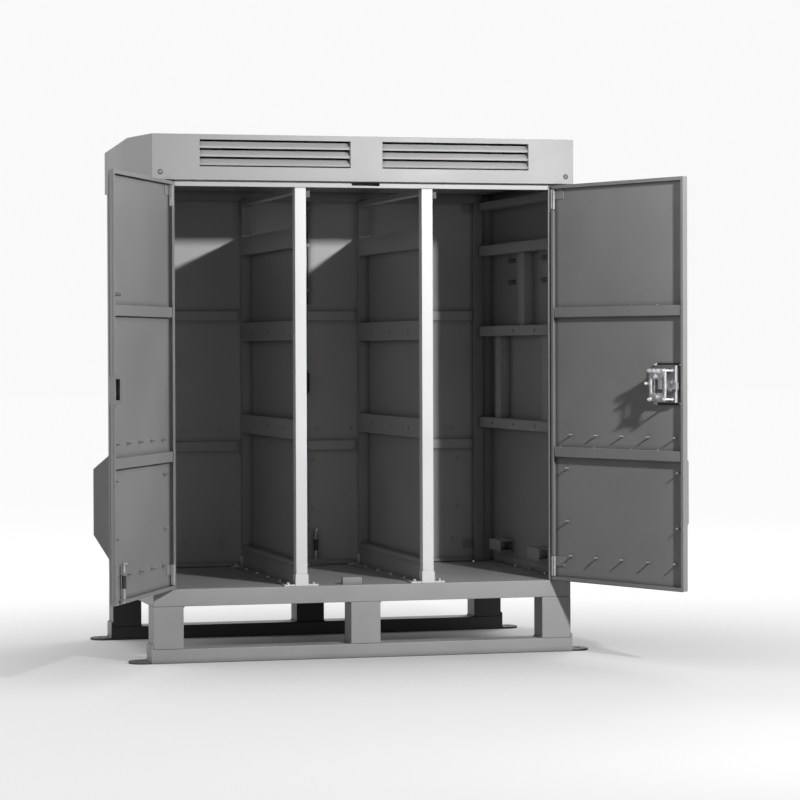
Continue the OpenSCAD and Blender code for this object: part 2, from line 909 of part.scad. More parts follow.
module front_right_door() {
    color("lightgray")
        on_latch_door(false)
            latch_door();
}

module front_right_stiffeners() {
    color("darkgray")
        on_latch_door(false)
            stiffeners();
}

module front_right_vent_hood() {
    color("silver")
        on_latch_door(false)
            vent_hood();
}

module front_right_hinges() {
    color("gainsboro")
        on_latch_door(false)
            moving_hinges();
}

module rear_left_door() {
    color("lightgray")
        on_latch_door(true)
            latch_door();
}

module rear_left_stiffeners() {
    color("darkgray")
        on_latch_door(true)
            stiffeners();
}

module rear_left_vent_hood() {
    color("silver")
        on_latch_door(true)
            vent_hood();
}

module rear_left_hinges() {
    color("gainsboro")
        on_latch_door(true)
            moving_hinges();
}

module rear_right_door() {
    color("lightgray")
        on_bolt_door(true)
            bolt_door();
}

module rear_right_stiffeners() {
    color("darkgray")
        on_bolt_door(true)
            stiffeners();
}

module rear_right_vent_hood() {
    color("silver")
        on_bolt_door(true)
            vent_hood();
}

module rear_right_hinges() {
    color("gainsboro")
        on_bolt_door(true)
            moving_hinges();
}

module front_latch_dish() {
    color("silver")
        on_latch_door(false)
            latch_dish();
}

module front_latch_gasket() {
    color("black")
        on_latch_door(false)
            latch_gasket();
}

module front_latch_guide() {
    color("gainsboro")
        on_latch_door(false)
            latch_guide();
}

// Both latches stand open, with their bolts in, so that the doors are free to swing.
module front_latch_bolt() {
    color("gray")
        on_latch_door(false)
            latch_bolt(-latch_throw / 2);
}

module front_latch_handle() {
    color("dimgray")
        on_latch_door(false)
            latch_handle(-latch_turn / 2);
}

module rear_latch_dish() {
    color("silver")
        on_latch_door(true)
            latch_dish();
}

module rear_latch_gasket() {
    color("black")
        on_latch_door(true)
            latch_gasket();
}

module rear_latch_guide() {
    color("gainsboro")
        on_latch_door(true)
            latch_guide();
}

module rear_latch_bolt() {
    color("gray")
        on_latch_door(true)
            latch_bolt(-latch_throw / 2);
}

module rear_latch_handle() {
    color("dimgray")
        on_latch_door(true)
            latch_handle(-latch_turn / 2);
}

module front_keeper() {
    color("silver")
        on_bolt_door(false)
            keeper();
}

module front_slide_brackets() {
    color("silver")
        on_bolt_door(false)
            slide_brackets();
}

module front_bottom_bolt() {
    color("gainsboro")
        on_bolt_door(false)
            bottom_bolt();
}

module front_top_bolt() {
    color("gainsboro")
        on_bolt_door(false)
            top_bolt();
}

module rear_keeper() {
    color("silver")
        on_bolt_door(true)
            keeper();
}

module rear_slide_brackets() {
    color("silver")
        on_bolt_door(true)
            slide_brackets();
}

module rear_bottom_bolt() {
    color("gainsboro")
        on_bolt_door(true)
            bottom_bolt();
}

module rear_top_bolt() {
    color("gainsboro")
        on_bolt_door(true)
            top_bolt();
}

skid_rails();
skid_legs();
anchor_feet();
floor_pan();
left_wall();
right_wall();
front_header();
rear_header();
ceiling_panel();
roof_hood();
front_louvres();
hood_screws();
divider_front_posts();
divider_rear_posts();
divider_bars();
divider_panels();
divider_kicks();
post_feet();
side_wall_rails();
wall_struts();
side_sockets();
floor_stops();
bolt_strikes();
floor_bolts();
hinge_brackets();
front_left_door();
front_left_stiffeners();
front_left_vent_hood();
front_left_hinges();
front_right_door();
front_right_stiffeners();
front_right_vent_hood();
front_right_hinges();
rear_left_door();
rear_left_stiffeners();
rear_left_vent_hood();
rear_left_hinges();
rear_right_door();
rear_right_stiffeners();
rear_right_vent_hood();
rear_right_hinges();
front_latch_dish();
front_latch_gasket();
front_latch_guide();
front_latch_bolt();
front_latch_handle();
rear_latch_dish();
rear_latch_gasket();
rear_latch_guide();
rear_latch_bolt();
rear_latch_handle();
front_keeper();
front_slide_brackets();
front_bottom_bolt();
front_top_bolt();
rear_keeper();
rear_slide_brackets();
rear_bottom_bolt();
rear_top_bolt();
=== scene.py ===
import math

import bmesh
import bpy
import numpy as np
from mathutils import Matrix, Vector


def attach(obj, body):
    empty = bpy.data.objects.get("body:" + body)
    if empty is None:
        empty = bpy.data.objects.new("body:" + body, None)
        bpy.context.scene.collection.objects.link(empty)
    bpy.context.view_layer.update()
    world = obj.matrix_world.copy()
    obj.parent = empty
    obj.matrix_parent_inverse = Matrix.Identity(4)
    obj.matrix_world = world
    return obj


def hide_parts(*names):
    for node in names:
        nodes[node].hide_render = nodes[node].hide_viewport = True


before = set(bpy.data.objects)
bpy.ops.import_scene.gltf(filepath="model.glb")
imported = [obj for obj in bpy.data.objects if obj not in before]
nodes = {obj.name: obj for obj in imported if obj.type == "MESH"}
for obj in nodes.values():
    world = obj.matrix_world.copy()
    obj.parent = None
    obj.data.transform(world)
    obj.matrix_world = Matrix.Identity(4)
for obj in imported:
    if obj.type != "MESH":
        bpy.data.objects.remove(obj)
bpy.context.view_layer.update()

# Camera. It stands about ten metres in front of the cabinet and a little to its left, almost level
# with the middle of the doors, with a long lens.
EYE = Vector((-2.4898, -10.3731, 1.0871))
YAW = math.radians(14.82)
PITCH = math.radians(-1.00)
ROLL = math.radians(-0.20)
FILM_MM = 36
LENS_MM = 130.25
FARTHEST = 200


def look_along(yaw, pitch, roll):
    """Turn of a camera that looks along the given yaw and pitch, then leans by roll about its view line."""
    ahead = Vector((math.sin(yaw) * math.cos(pitch), math.cos(yaw) * math.cos(pitch), math.sin(pitch)))
    level = Vector((math.cos(yaw), -math.sin(yaw), 0))
    above = level.cross(ahead)
    right = math.cos(roll) * level + math.sin(roll) * above
    up = math.cos(roll) * above - math.sin(roll) * level
    return Matrix((right, up, -ahead)).transposed().to_4x4()


camera = bpy.data.objects.new("camera", bpy.data.cameras.new("camera"))
camera.data.sensor_width = FILM_MM
camera.data.lens = LENS_MM
camera.data.clip_end = FARTHEST
camera.matrix_world = Matrix.Translation(EYE) @ look_along(YAW, PITCH, ROLL)
bpy.context.scene.collection.objects.link(camera)
bpy.context.scene.camera = camera
bpy.context.scene.view_settings.view_transform = "Standard"

# Studio. A wide floor runs out to a sky; both are pale where they are seen, and throw back less light.
# A small soft box stands at the front right, with weak wide boxes at the front left, at the left, and
# high behind.
FLOOR_HALF = 60.0
FLOOR_LINES = 9
FLOOR_TONE = (0.24, 0.24, 0.24, 1)
SEEN_TONE = (0.35, 0.35, 0.35, 1)
WHITE = (1, 1, 1, 1)
LIT_SPOT = (0.7, -2.4, 0.0)
LIT_REACH = (0.5, 5.5)
LIT_GLOW = 0.50
FAR_GLOW = 0.95
SHADOW_REACH = 1.5
SKY_LIGHT = 0.028


def new_mesh(name, points, faces, smooth=True, closed=False):
    """One object at the origin from a list of points and a list of faces; closed shells face outwards."""
    mesh = bpy.data.meshes.new(name)
    mesh.from_pydata(np.asarray(points, float).tolist(), [], [list(map(int, f)) for f in faces])
    if closed:
        shell = bmesh.new()
        shell.from_mesh(mesh)
        bmesh.ops.recalc_face_normals(shell, faces=shell.faces)
        shell.to_mesh(mesh)
        shell.free()
    mesh.polygons.foreach_set("use_smooth", [smooth] * len(mesh.polygons))
    mesh.update()
    piece = bpy.data.objects.new(name, mesh)
    bpy.context.scene.collection.objects.link(piece)
    return piece


def grid_faces(rows, columns, closed=False):
    """Quads of a grid of points stored row by row; closed joins the last column to the first."""
    r, c = np.meshgrid(np.arange(rows - 1), np.arange(columns if closed else columns - 1), indexing="ij")
    d = (c + 1) % columns
    quads = np.stack([r * columns + c, r * columns + d, (r + 1) * columns + d, (r + 1) * columns + c], -1)
    return quads.reshape(-1, 4)


floor_line = np.linspace(-FLOOR_HALF, FLOOR_HALF, FLOOR_LINES)
floor_x, floor_y = np.meshgrid(floor_line, floor_line)
ground = np.stack([floor_x, floor_y, np.zeros_like(floor_x)], -1)
floor = new_mesh("studio_floor", ground.reshape(-1, 3), grid_faces(FLOOR_LINES, FLOOR_LINES))


def new_material(name):
    """A material with an empty node tree, and its node and link makers."""
    material = bpy.data.materials.new(name)
    material.use_nodes = True
    tree = material.node_tree
    tree.nodes.clear()
    return material, tree.nodes.new, tree.links.new


def reckon(node, link, operation, *terms, kind="Math", gives="Value"):
    """One step of arithmetic, on numbers (kind Math) or on points (kind VectorMath). A term that is a socket
    is linked, and a plain value is set on its own input."""
    step = node("ShaderNode" + kind)
    step.operation = operation
    for socket, term in zip(step.inputs, terms):
        if isinstance(term, bpy.types.NodeSocket):
            link(term, socket)
        else:
            socket.default_value = term
    return step.outputs[gives]


def fade(node, link, value, reach, levels):
    """A level that runs evenly from the first of levels to the second, as value goes over reach."""
    slope = node("ShaderNodeMapRange")
    for name, number in zip(("From Min", "From Max", "To Min", "To Max"), reach + levels):
        slope.inputs[name].default_value = number
    link(value, slope.inputs["Value"])
    return slope.outputs[0]


def open_space(node, distance, samples):
    """How open the space within distance metres of a surface is: 1 in the open, less in a corner."""
    near = node("ShaderNodeAmbientOcclusion")
    near.samples = samples
    near.inputs["Distance"].default_value = distance
    return near.outputs["AO"]


def seen_rays(node, link):
    """1 on rays from the camera, in gloss or through glass, else 0: the largest of the three."""
    rays = node("ShaderNodeLightPath").outputs
    mirrored = reckon(node, link, "MAXIMUM", rays["Is Glossy Ray"], rays["Is Transmission Ray"])
    return reckon(node, link, "MAXIMUM", rays["Is Camera Ray"], mirrored)


paper, node, link = new_material("studio_paper")
surface = node("ShaderNodeOutputMaterial")
paper_face = node("ShaderNodeBsdfDiffuse")
paper_face.inputs["Color"].default_value = FLOOR_TONE
seen_face = node("ShaderNodeBsdfDiffuse")
seen_face.inputs["Color"].default_value = SEEN_TONE
paper_place = node("ShaderNodeTexCoord").outputs["Object"]
paper_way = reckon(node, link, "DISTANCE", paper_place, LIT_SPOT, kind="VectorMath")
paper_glow = fade(node, link, paper_way, LIT_REACH, (LIT_GLOW, FAR_GLOW))
# The floor's glow is dimmed where the cabinet shuts in the space near it: a painted shadow round the cabinet.
glow_with_painted_shadow = reckon(node, link, "MULTIPLY", paper_glow, open_space(node, SHADOW_REACH, 8))
paper_light = node("ShaderNodeEmission")
paper_light.inputs["Color"].default_value = WHITE
link(glow_with_painted_shadow, paper_light.inputs["Strength"])
paper_sum = node("ShaderNodeAddShader")
link(seen_face.outputs[0], paper_sum.inputs[0])
link(paper_light.outputs[0], paper_sum.inputs[1])
paper_mix = node("ShaderNodeMixShader")
link(seen_rays(node, link), paper_mix.inputs[0])
link(paper_face.outputs[0], paper_mix.inputs[1])
link(paper_sum.outputs[0], paper_mix.inputs[2])
link(paper_mix.outputs[0], surface.inputs[0])
floor.data.materials.append(paper)

world = bpy.data.worlds.new("studio_sky")
world.use_nodes = True
node, link = world.node_tree.nodes.new, world.node_tree.links.new
sky = world.node_tree.nodes["Background"]
sky.inputs["Color"].default_value = WHITE
sky_level = reckon(node, link, "MULTIPLY_ADD", seen_rays(node, link), FAR_GLOW - SKY_LIGHT, SKY_LIGHT)
link(sky_level, sky.inputs["Strength"])
bpy.context.scene.world = world


def soft_box(name, spot, target, size, watts):
    """An area lamp at spot that faces target; size is its width and height in metres."""
    lamp = bpy.data.lights.new(name, "AREA")
    lamp.shape = "RECTANGLE"
    lamp.size, lamp.size_y = size
    lamp.energy = watts
    holder = bpy.data.objects.new(name, lamp)
    holder.location = spot
    holder.rotation_euler = (Vector(target) - Vector(spot)).to_track_quat("-Z", "Y").to_euler()
    holder.visible_camera = False
    bpy.context.scene.collection.objects.link(holder)


soft_box("key_box", spot=(1.20, -3.90, 2.20), target=(0, -0.3, 0.8), size=(0.14, 0.14), watts=116)
soft_box("fill_box", spot=(-4.11, -6.88, 1.80), target=(0, -0.3, 1.0), size=(2.0, 2.0), watts=27)
soft_box("left_box", spot=(-5.47, -0.68, 2.20), target=(0, -0.3, 1.0), size=(1.6, 2.4), watts=62)
soft_box("back_box", spot=(3.00, 3.60, 4.60), target=(0.2, 0.2, 1.2), size=(2.0, 2.0), watts=110)

# Skid. Two box rails, six box legs, cheeks and anchor feet, cut from steel tube and plate, welded and
# painted before the cabinet is set on it. The paint is dull, and dusty towards the ground; the rails' and
# legs' inner faces are coloured near black, painted shade for the shade under the pan, and the anchor feet
# are coloured near black as painted shade too.
SKID_GREY = (0.415, 0.415, 0.415)
SHADE_BLACK = (0.10, 0.10, 0.10)
BLACK = (0, 0, 0, 1)
SKID_SHADE_GREY = 0.02
SKID_SHADE_REACH = 0.3885
SKID_DUST_TOP = 0.32
DUST_DARK = (0.30, 0.295, 0.285, 1)
DUST_PALE = (0.44, 0.435, 0.425, 1)
DUST_COVER = 0.55
CLOUDS_A_METRE = 2.3
FLECKS_A_METRE = 380.0
FLECK_COVER = (0.30, 0.30, 0.30, 1)
FLECK_LIFT = 1.28
RUBS_A_METRE = 45.0
RUB_RADIUS = 0.0035
RUB_LIFT = 1.45
DRIFTS_A_METRE = 9.0
DIMPLES_A_METRE = 520.0
DIMPLE_DEPTH = 0.00012
CORNER_SHADE_REACH = 0.022
CORNER_SHADE_TONE = (0.40, 0.40, 0.40, 1)
JOIN_GAP = 0.00002
FOLD_STEPS = 2
FOLD_ANGLE = math.radians(35)


def shade(colour, factor):
    """A colour with its three parts multiplied by factor, as the four values of a colour socket."""
    return tuple(min(1.0, c * factor) for c in colour) + (1,)


def ramp(node, link, factor, low, low_colour, high, high_colour):
    """A colour that runs from low_colour, where factor is low or less, to high_colour, where it is high."""
    bar = node("ShaderNodeValToRGB")
    for element, (place, colour) in zip(bar.color_ramp.elements, ((low, low_colour), (high, high_colour))):
        element.position = place
        element.color = colour
    link(factor, bar.inputs[0])
    return bar.outputs[0]


def grain(node, link, place, scale, detail=4.0, rough=0.55, stretch=(1, 1, 1)):
    """Noise in object coordinates; stretch squeezes it along an axis, so streaks run along the others."""
    turn = node("ShaderNodeMapping")
    turn.inputs["Scale"].default_value = stretch
    noise = node("ShaderNodeTexNoise")
    noise.inputs["Scale"].default_value = scale
    noise.inputs["Detail"].default_value = detail
    noise.inputs["Roughness"].default_value = rough
    link(place, turn.inputs["Vector"])
    link(turn.outputs[0], noise.inputs["Vector"])
    return noise.outputs["Fac"]


def part_of(node, link, place, axis):
    """One part, X, Y or Z, of a place on the piece."""
    parts = node("ShaderNodeSeparateXYZ")
    link(place, parts.inputs[0])
    return parts.outputs[axis]


def paler(node, link, colour, lift):
    """A colour whose brightness is multiplied by lift."""
    wash = node("ShaderNodeHueSaturation")
    wash.inputs["Value"].default_value = lift
    link(colour, wash.inputs["Color"])
    return wash.outputs[0]


def lay_over(node, link, under, over, factor):
    """One colour laid over another where factor is high."""
    mix = node("ShaderNodeMix")
    mix.data_type = "RGBA"
    link(factor, mix.inputs[0])
    link(under, mix.inputs[6])
    link(over, mix.inputs[7])
    return mix.outputs[2]


def multiplied(node, link, under, over):
    """Two colours multiplied part by part."""
    mix = node("ShaderNodeMix")
    mix.data_type = "RGBA"
    mix.blend_type = "MULTIPLY"
    mix.inputs[0].default_value = 1.0
    link(under, mix.inputs[6])
    link(over, mix.inputs[7])
    return mix.outputs[2]


def new_finish(name):
    """A material whose one shader is joined to its output, and the coordinates that its patterns read."""
    material, node, link = new_material(name)
    body = node("ShaderNodeBsdfPrincipled")
    link(body.outputs[0], node("ShaderNodeOutputMaterial").inputs[0])
    return material, node, link, body.inputs, node("ShaderNodeTexCoord").outputs


def bumped(node, link, height, strength, depth):
    """Normals of a skin that rises with height, by depth metres at most."""
    bump = node("ShaderNodeBump")
    bump.inputs["Strength"].default_value = strength
    bump.inputs["Distance"].default_value = depth
    link(height, bump.inputs["Height"])
    return bump.outputs[0]


def dulled(node, link, pattern, sharp, dull):
    """A roughness that runs from sharp to dull with a pattern."""
    return ramp(node, link, pattern, 0.3, (sharp,) * 3 + (1,), 0.7, (dull,) * 3 + (1,))


def powder_coat(name, colour, gloss=0.42, spread=0.10, dust_top=None, inner=None, pin=None):
    """Sprayed and baked paint. Its tone follows soft clouds and stays within spread of the colour; pale specks
    and fine dimples cover it. Edges are rubbed paler, by how far a rounded normal leans from the true one, and
    painted shade darkens corners, by how much of the space near them is shut in. Pale dust gathers below
    dust_top, in metres. inner is the grey laid on the faces near the middle plane, painted shade or painted
    light, and how far that reaches from it. pin is the place in plan, the radius and the grey of upright pins
    that are left bare."""
    material, node, link, shader, coordinates = new_finish(name)
    place = coordinates["Object"]
    clouds = grain(node, link, place, CLOUDS_A_METRE, 6.0, 0.6)

    def clouded(base, dark, pale, pattern):
        """A colour from dark to pale times the base, with a pattern."""
        return ramp(node, link, pattern, 0.30, shade(base, dark), 0.72, shade(base, pale))

    tone = clouded(colour, 1 - spread, 1 + spread, clouds)
    flecks = grain(node, link, place, FLECKS_A_METRE, 2.0, 0.7)
    fleck_mask = ramp(node, link, flecks, 0.62, BLACK, 0.78, FLECK_COVER)
    skin = lay_over(node, link, tone, paler(node, link, tone, FLECK_LIFT), fleck_mask)
    rounded = node("ShaderNodeBevel")
    rounded.samples = 4
    rounded.inputs["Radius"].default_value = RUB_RADIUS
    true_normal = node("ShaderNodeNewGeometry").outputs["Normal"]
    lean = reckon(node, link, "DOT_PRODUCT", true_normal, rounded.outputs["Normal"], kind="VectorMath")
    rub = grain(node, link, place, RUBS_A_METRE, 5.0, 0.65)
    worn = reckon(node, link, "MULTIPLY", ramp(node, link, lean, 0.80, WHITE, 0.985, BLACK), rub)
    skin = lay_over(node, link, skin, paler(node, link, tone, RUB_LIFT), worn)
    if dust_top:
        drift = grain(node, link, place, DRIFTS_A_METRE, 6.0, 0.7)
        cover = fade(node, link, part_of(node, link, place, "Z"), (0.0, dust_top), (DUST_COVER, 0.0))
        powder = ramp(node, link, drift, 0.2, DUST_DARK, 0.8, DUST_PALE)
        skin = lay_over(node, link, skin, powder, reckon(node, link, "MULTIPLY", cover, drift))
    # Painted shade or painted light: a grey laid on the faces near the middle plane.
    if inner:
        inner_grey, inner_reach = inner
        away = reckon(node, link, "ABSOLUTE", part_of(node, link, place, "Y"))
        within = reckon(node, link, "LESS_THAN", away, inner_reach)
        inner_light_or_shade = clouded((inner_grey,) * 3, 1 - spread, 1 + spread, clouds)
        skin = lay_over(node, link, skin, inner_light_or_shade, within)
    if pin:
        pin_x, pin_y, pin_radius, pin_grey = pin
        one_side = reckon(node, link, "ABSOLUTE", place, kind="VectorMath", gives="Vector")
        pin_place = (pin_x, pin_y, 0)
        from_pin = reckon(node, link, "SUBTRACT", one_side, pin_place, kind="VectorMath", gives="Vector")
        in_plan = reckon(node, link, "MULTIPLY", from_pin, (1, 1, 0), kind="VectorMath", gives="Vector")
        apart = reckon(node, link, "LENGTH", in_plan, kind="VectorMath")
        on_pin = reckon(node, link, "LESS_THAN", apart, pin_radius)
        skin = lay_over(node, link, skin, clouded((pin_grey,) * 3, 0.8, 1.15, rub), on_pin)
    # Painted shade: corners are darkened by how much the space near them is shut in.
    painted_corner_shade = ramp(node, link, open_space(node, CORNER_SHADE_REACH, 4), 0.40, CORNER_SHADE_TONE, 0.90, WHITE)
    link(multiplied(node, link, skin, painted_corner_shade), shader["Base Color"])
    link(dulled(node, link, clouds, gloss - 0.05, gloss + 0.08), shader["Roughness"])
    dimples = grain(node, link, place, DIMPLES_A_METRE, 2.0, 0.5)
    link(bumped(node, link, dimples, 0.35, DIMPLE_DEPTH), shader["Normal"])
    return material


def finish_nodes(material, names, fold=0.0008):
    """Gives CAD nodes a finish, and rounds their edges by fold metres as folding or cutting leaves them."""
    for name in names:
        cad = nodes[name]
        cad.data.materials.clear()
        cad.data.materials.append(material)
        join = cad.modifiers.new("join", "WELD")
        join.merge_threshold = JOIN_GAP
        edge = cad.modifiers.new("edge", "BEVEL")
        edge.width = fold
        edge.segments = FOLD_STEPS
        edge.limit_method = "ANGLE"
        edge.angle_limit = FOLD_ANGLE
        edge.harden_normals = False
        even = cad.modifiers.new("even", "WEIGHTED_NORMAL")
        even.keep_sharp = False


skid_paint = powder_coat("skid_paint", SKID_GREY, gloss=0.5, spread=0.12, dust_top=SKID_DUST_TOP,
                         inner=(SKID_SHADE_GREY, SKID_SHADE_REACH))
finish_nodes(skid_paint, ["skid_rails", "skid_legs"], fold=0.0025)
# The anchor feet are coloured near black: painted shade.
shade_black_paint = powder_coat("shade_black_paint", SHADE_BLACK, gloss=0.55, spread=0.18)
finish_nodes(shade_black_paint, ["anchor_feet"], fold=0.0015)

# Weld beads. Fillets of weld metal run along the inner corners of the skid, where the legs stand on the
# rails and under the pan, and where the cheeks meet the feet; they are painted with the skid.
BEAD_R = 0.0055
SMALL_BEAD_R = 0.004
RIPPLE = 0.0045
LEG_SIDES = (-0.652, -0.0535, 0.0535, 0.652)
LEG_LEANS = (1, -1, 1, -1)
RAIL_TOP = 0.050
PAN_UNDER = 0.198
RAIL_BACKS = (-0.481, 0.387)
RAIL_FRONTS = (-0.387, 0.481)
CHEEK_CORNERS = ((0.766, 0.008), (0.759, 0.065))


def gather(name, parts, material, smooth=True):
    """Joins several surfaces, each a pair of points and faces, into one closed piece with one finish."""
    points, faces, count = [], [], 0
    for part_points, part_faces in parts:
        points.append(np.asarray(part_points, float).reshape(-1, 3))
        faces += [[int(i) + count for i in face] for face in part_faces]
        count += len(points[-1])
    piece = new_mesh(name, np.concatenate(points), faces, smooth, closed=True)
    piece.data.materials.append(material)
    return piece


def weld_bead(start, end, side_a, side_b, radius):
    """A bead in the corner between two faces: a quarter round from side_a to side_b about the corner
    line, carried from start to end. Its radius swells and shrinks by a sine of the way gone, one wave
    for each dab of weld, and falls off at both ends."""
    start, end = np.asarray(start, float), np.asarray(end, float)
    side_a, side_b = np.asarray(side_a), np.asarray(side_b)
    length = np.linalg.norm(end - start)
    gone = np.linspace(0, length, max(8, int(length / RIPPLE * 4)))
    swell = 1 + 0.10 * np.sin(2 * np.pi * gone / RIPPLE)
    taper = np.clip(np.minimum(gone, length - gone) / (1.5 * radius), 0.15, 1) ** 0.5
    angle = np.linspace(0, np.pi / 2, 6)
    bulge = np.sin(2 * angle) * 0.12 + 0.9
    arc = np.cos(angle)[:, None] * side_a + np.sin(angle)[:, None] * side_b
    ring = np.concatenate([[-0.06 * (side_a + side_b)], arc * bulge[:, None]])
    line = start + (end - start) * (gone / length)[:, None]
    points = line[:, None, :] + ring[None] * (radius * swell * taper)[:, None, None]
    rows, columns = len(gone), len(ring)
    faces = grid_faces(rows, columns, closed=True).tolist()
    faces += [list(range(columns)), list(range((rows - 1) * columns, rows * columns))]
    return points, faces


beads = []
for lean, x in zip(LEG_LEANS, LEG_SIDES):
    for y0, y1 in zip(RAIL_BACKS, RAIL_FRONTS):
        for z, rise in ((RAIL_TOP, 1), (PAN_UNDER, -1)):
            beads.append(weld_bead((x, y0, z), (x, y1, z), (lean, 0, 0), (0, 0, rise), BEAD_R))
for hand in (-1, 1):
    for y0, y1 in zip(RAIL_BACKS, RAIL_FRONTS):
        for out, z in CHEEK_CORNERS:
            x = hand * out
            beads.append(weld_bead((x, y0, z), (x, y1, z), (hand, 0, 0), (0, 0, 1), SMALL_BEAD_R))
welds = gather("skid_welds", beads, skid_paint)
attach(welds, "cabinet")

# Floor pan. One tray of folded sheet steel, with the floor on top and an apron down each side. It is welded
# to the legs and painted, and is dusty towards the ground.
PAN_GREY = (0.415, 0.415, 0.415)
PAN_DUST_TOP = 0.30
pan_paint = powder_coat("pan_paint", PAN_GREY, gloss=0.46, spread=0.12, dust_top=PAN_DUST_TOP)
finish_nodes(pan_paint, ["floor_pan"], fold=0.0025)

# Shell. Side walls folded round into the jambs, headers over the doors and a flat ceiling, all of sheet
# steel with a baked paint. The headers' outer faces are coloured paler than their inner ones, painted light.
SHELL_GREY = (0.285, 0.285, 0.285)
HEADER_LIT_GREY = (0.53, 0.53, 0.53)
HEADER_INNER_GREY = 0.33
HEADER_INNER_REACH = 0.481
shell_paint = powder_coat("shell_paint", SHELL_GREY, spread=0.09)
finish_nodes(shell_paint, ["left_wall", "right_wall", "ceiling_panel"], fold=0.0012)
# The outer faces' paler grey is painted light.
header_lit_paint = powder_coat("header_lit_paint", HEADER_LIT_GREY, spread=0.06,
                           inner=(HEADER_INNER_GREY, HEADER_INNER_REACH))
finish_nodes(header_lit_paint, ["front_header", "rear_header"], fold=0.0012)

# Hood. A folded roof of sheet steel with a low ridge, set over the walls and held by screws, with two
# louvres of slanted blades behind its front openings.
HOOD_GREY = (0.40, 0.40, 0.40)
LOUVRE_GREY = (0.60, 0.60, 0.60)
hood_paint = powder_coat("hood_paint", HOOD_GREY, spread=0.07)
finish_nodes(hood_paint, ["roof_hood"], fold=0.0012)
louvre_paint = powder_coat("louvre_paint", LOUVRE_GREY, spread=0.06)
finish_nodes(louvre_paint, ["front_louvres"], fold=0.0006)

# Hood screws. Four zinc plated cross-head screws hold the hood to the walls, each on a black sealing
# washer of rubber.
HOOD_SCREWS = np.array([(x, y, 1.702) for y in (-0.516, 0.516) for x in (-0.733, 0.733)])
HOOD_OUT = np.array([(0, math.copysign(1, y), 0) for x, y, z in HOOD_SCREWS])
WASHER_R = 0.0088
HEAD_R = 0.0070
HEAD_H = 0.0038
SUNK = -0.0003
WASHER_RINGS = [(HEAD_R, 0.0012), (WASHER_R - 0.0006, 0.0012), (WASHER_R, 0.0007), (WASHER_R, SUNK)]
SCREW_GREY = (0.24, 0.24, 0.25)
RUBBER_BLACK = (0.018, 0.018, 0.018)
CRYSTALS_A_METRE = 60.0
STREAKS_A_METRE = 120.0
STREAK_RUN = (1, 1, 0.08)
SLEEVE_DARK = (0.012, 0.012, 0.012, 1)
SLEEVE_PALE = (0.03, 0.03, 0.03, 1)
HIGHLIGHT_DARK = (0.72, 0.72, 0.73, 1)
HIGHLIGHT_PALE = (0.92, 0.92, 0.93, 1)
BLOOMS_A_METRE = 40.0
PORES_A_METRE = 900.0
SKIN_DEPTH = 0.0002


def zinc_plate(name, colour, gloss=0.34, metal=0.85, sleeve=None, draw=None):
    """Plated steel: a metal with cloudy crystals, fine streaks and a dull bloom. sleeve is the lowest and
    highest place in metres of a black sleeve moulded on it. draw is the direction in which a dish was
    pressed; the walls along it are coloured pale, a painted highlight."""
    material, node, link, shader, coordinates = new_finish(name)
    place = coordinates["Object"]
    clouds = grain(node, link, place, CRYSTALS_A_METRE, 5.0, 0.6)
    skin = ramp(node, link, clouds, 0.28, shade(colour, 0.70), 0.72, shade(colour, 1.18))
    shader["Metallic"].default_value = metal
    if sleeve:
        low, high = sleeve
        lift = reckon(node, link, "SUBTRACT", part_of(node, link, place, "Z"), (low + high) / 2)
        apart = reckon(node, link, "ABSOLUTE", lift)
        on_sleeve = reckon(node, link, "LESS_THAN", apart, (high - low) / 2)
        black = ramp(node, link, clouds, 0.3, SLEEVE_DARK, 0.75, SLEEVE_PALE)
        skin = lay_over(node, link, skin, black, on_sleeve)
        bare = reckon(node, link, "SUBTRACT", metal, on_sleeve)
        bare.node.use_clamp = True
        link(bare, shader["Metallic"])
    # Walls square to the draw are coloured pale: a painted highlight.
    if draw:
        facing = reckon(node, link, "DOT_PRODUCT", coordinates["Normal"], draw, kind="VectorMath")
        flatness = reckon(node, link, "ABSOLUTE", facing)
        on_highlit_wall = reckon(node, link, "LESS_THAN", flatness, 0.5)
        painted_highlight = ramp(node, link, clouds, 0.3, HIGHLIGHT_DARK, 0.75, HIGHLIGHT_PALE)
        skin = lay_over(node, link, skin, painted_highlight, on_highlit_wall)
    link(skin, shader["Base Color"])
    streaks = grain(node, link, place, STREAKS_A_METRE, 3.0, 0.6, STREAK_RUN)
    link(dulled(node, link, streaks, gloss - 0.08, gloss + 0.14), shader["Roughness"])
    link(bumped(node, link, streaks, 0.25, SKIN_DEPTH), shader["Normal"])
    return material


def soft_rubber(name, colour):
    """Moulded rubber: dull black with a faint bloom and a fine skin."""
    material, node, link, shader, coordinates = new_finish(name)
    place = coordinates["Object"]
    bloom = grain(node, link, place, BLOOMS_A_METRE, 5.0, 0.6)
    link(ramp(node, link, bloom, 0.3, shade(colour, 0.7), 0.75, shade(colour, 1.6)), shader["Base Color"])
    shader["Roughness"].default_value = 0.7
    pores = grain(node, link, place, PORES_A_METRE, 2.0, 0.5)
    link(bumped(node, link, pores, 0.3, SKIN_DEPTH), shader["Normal"])
    return material


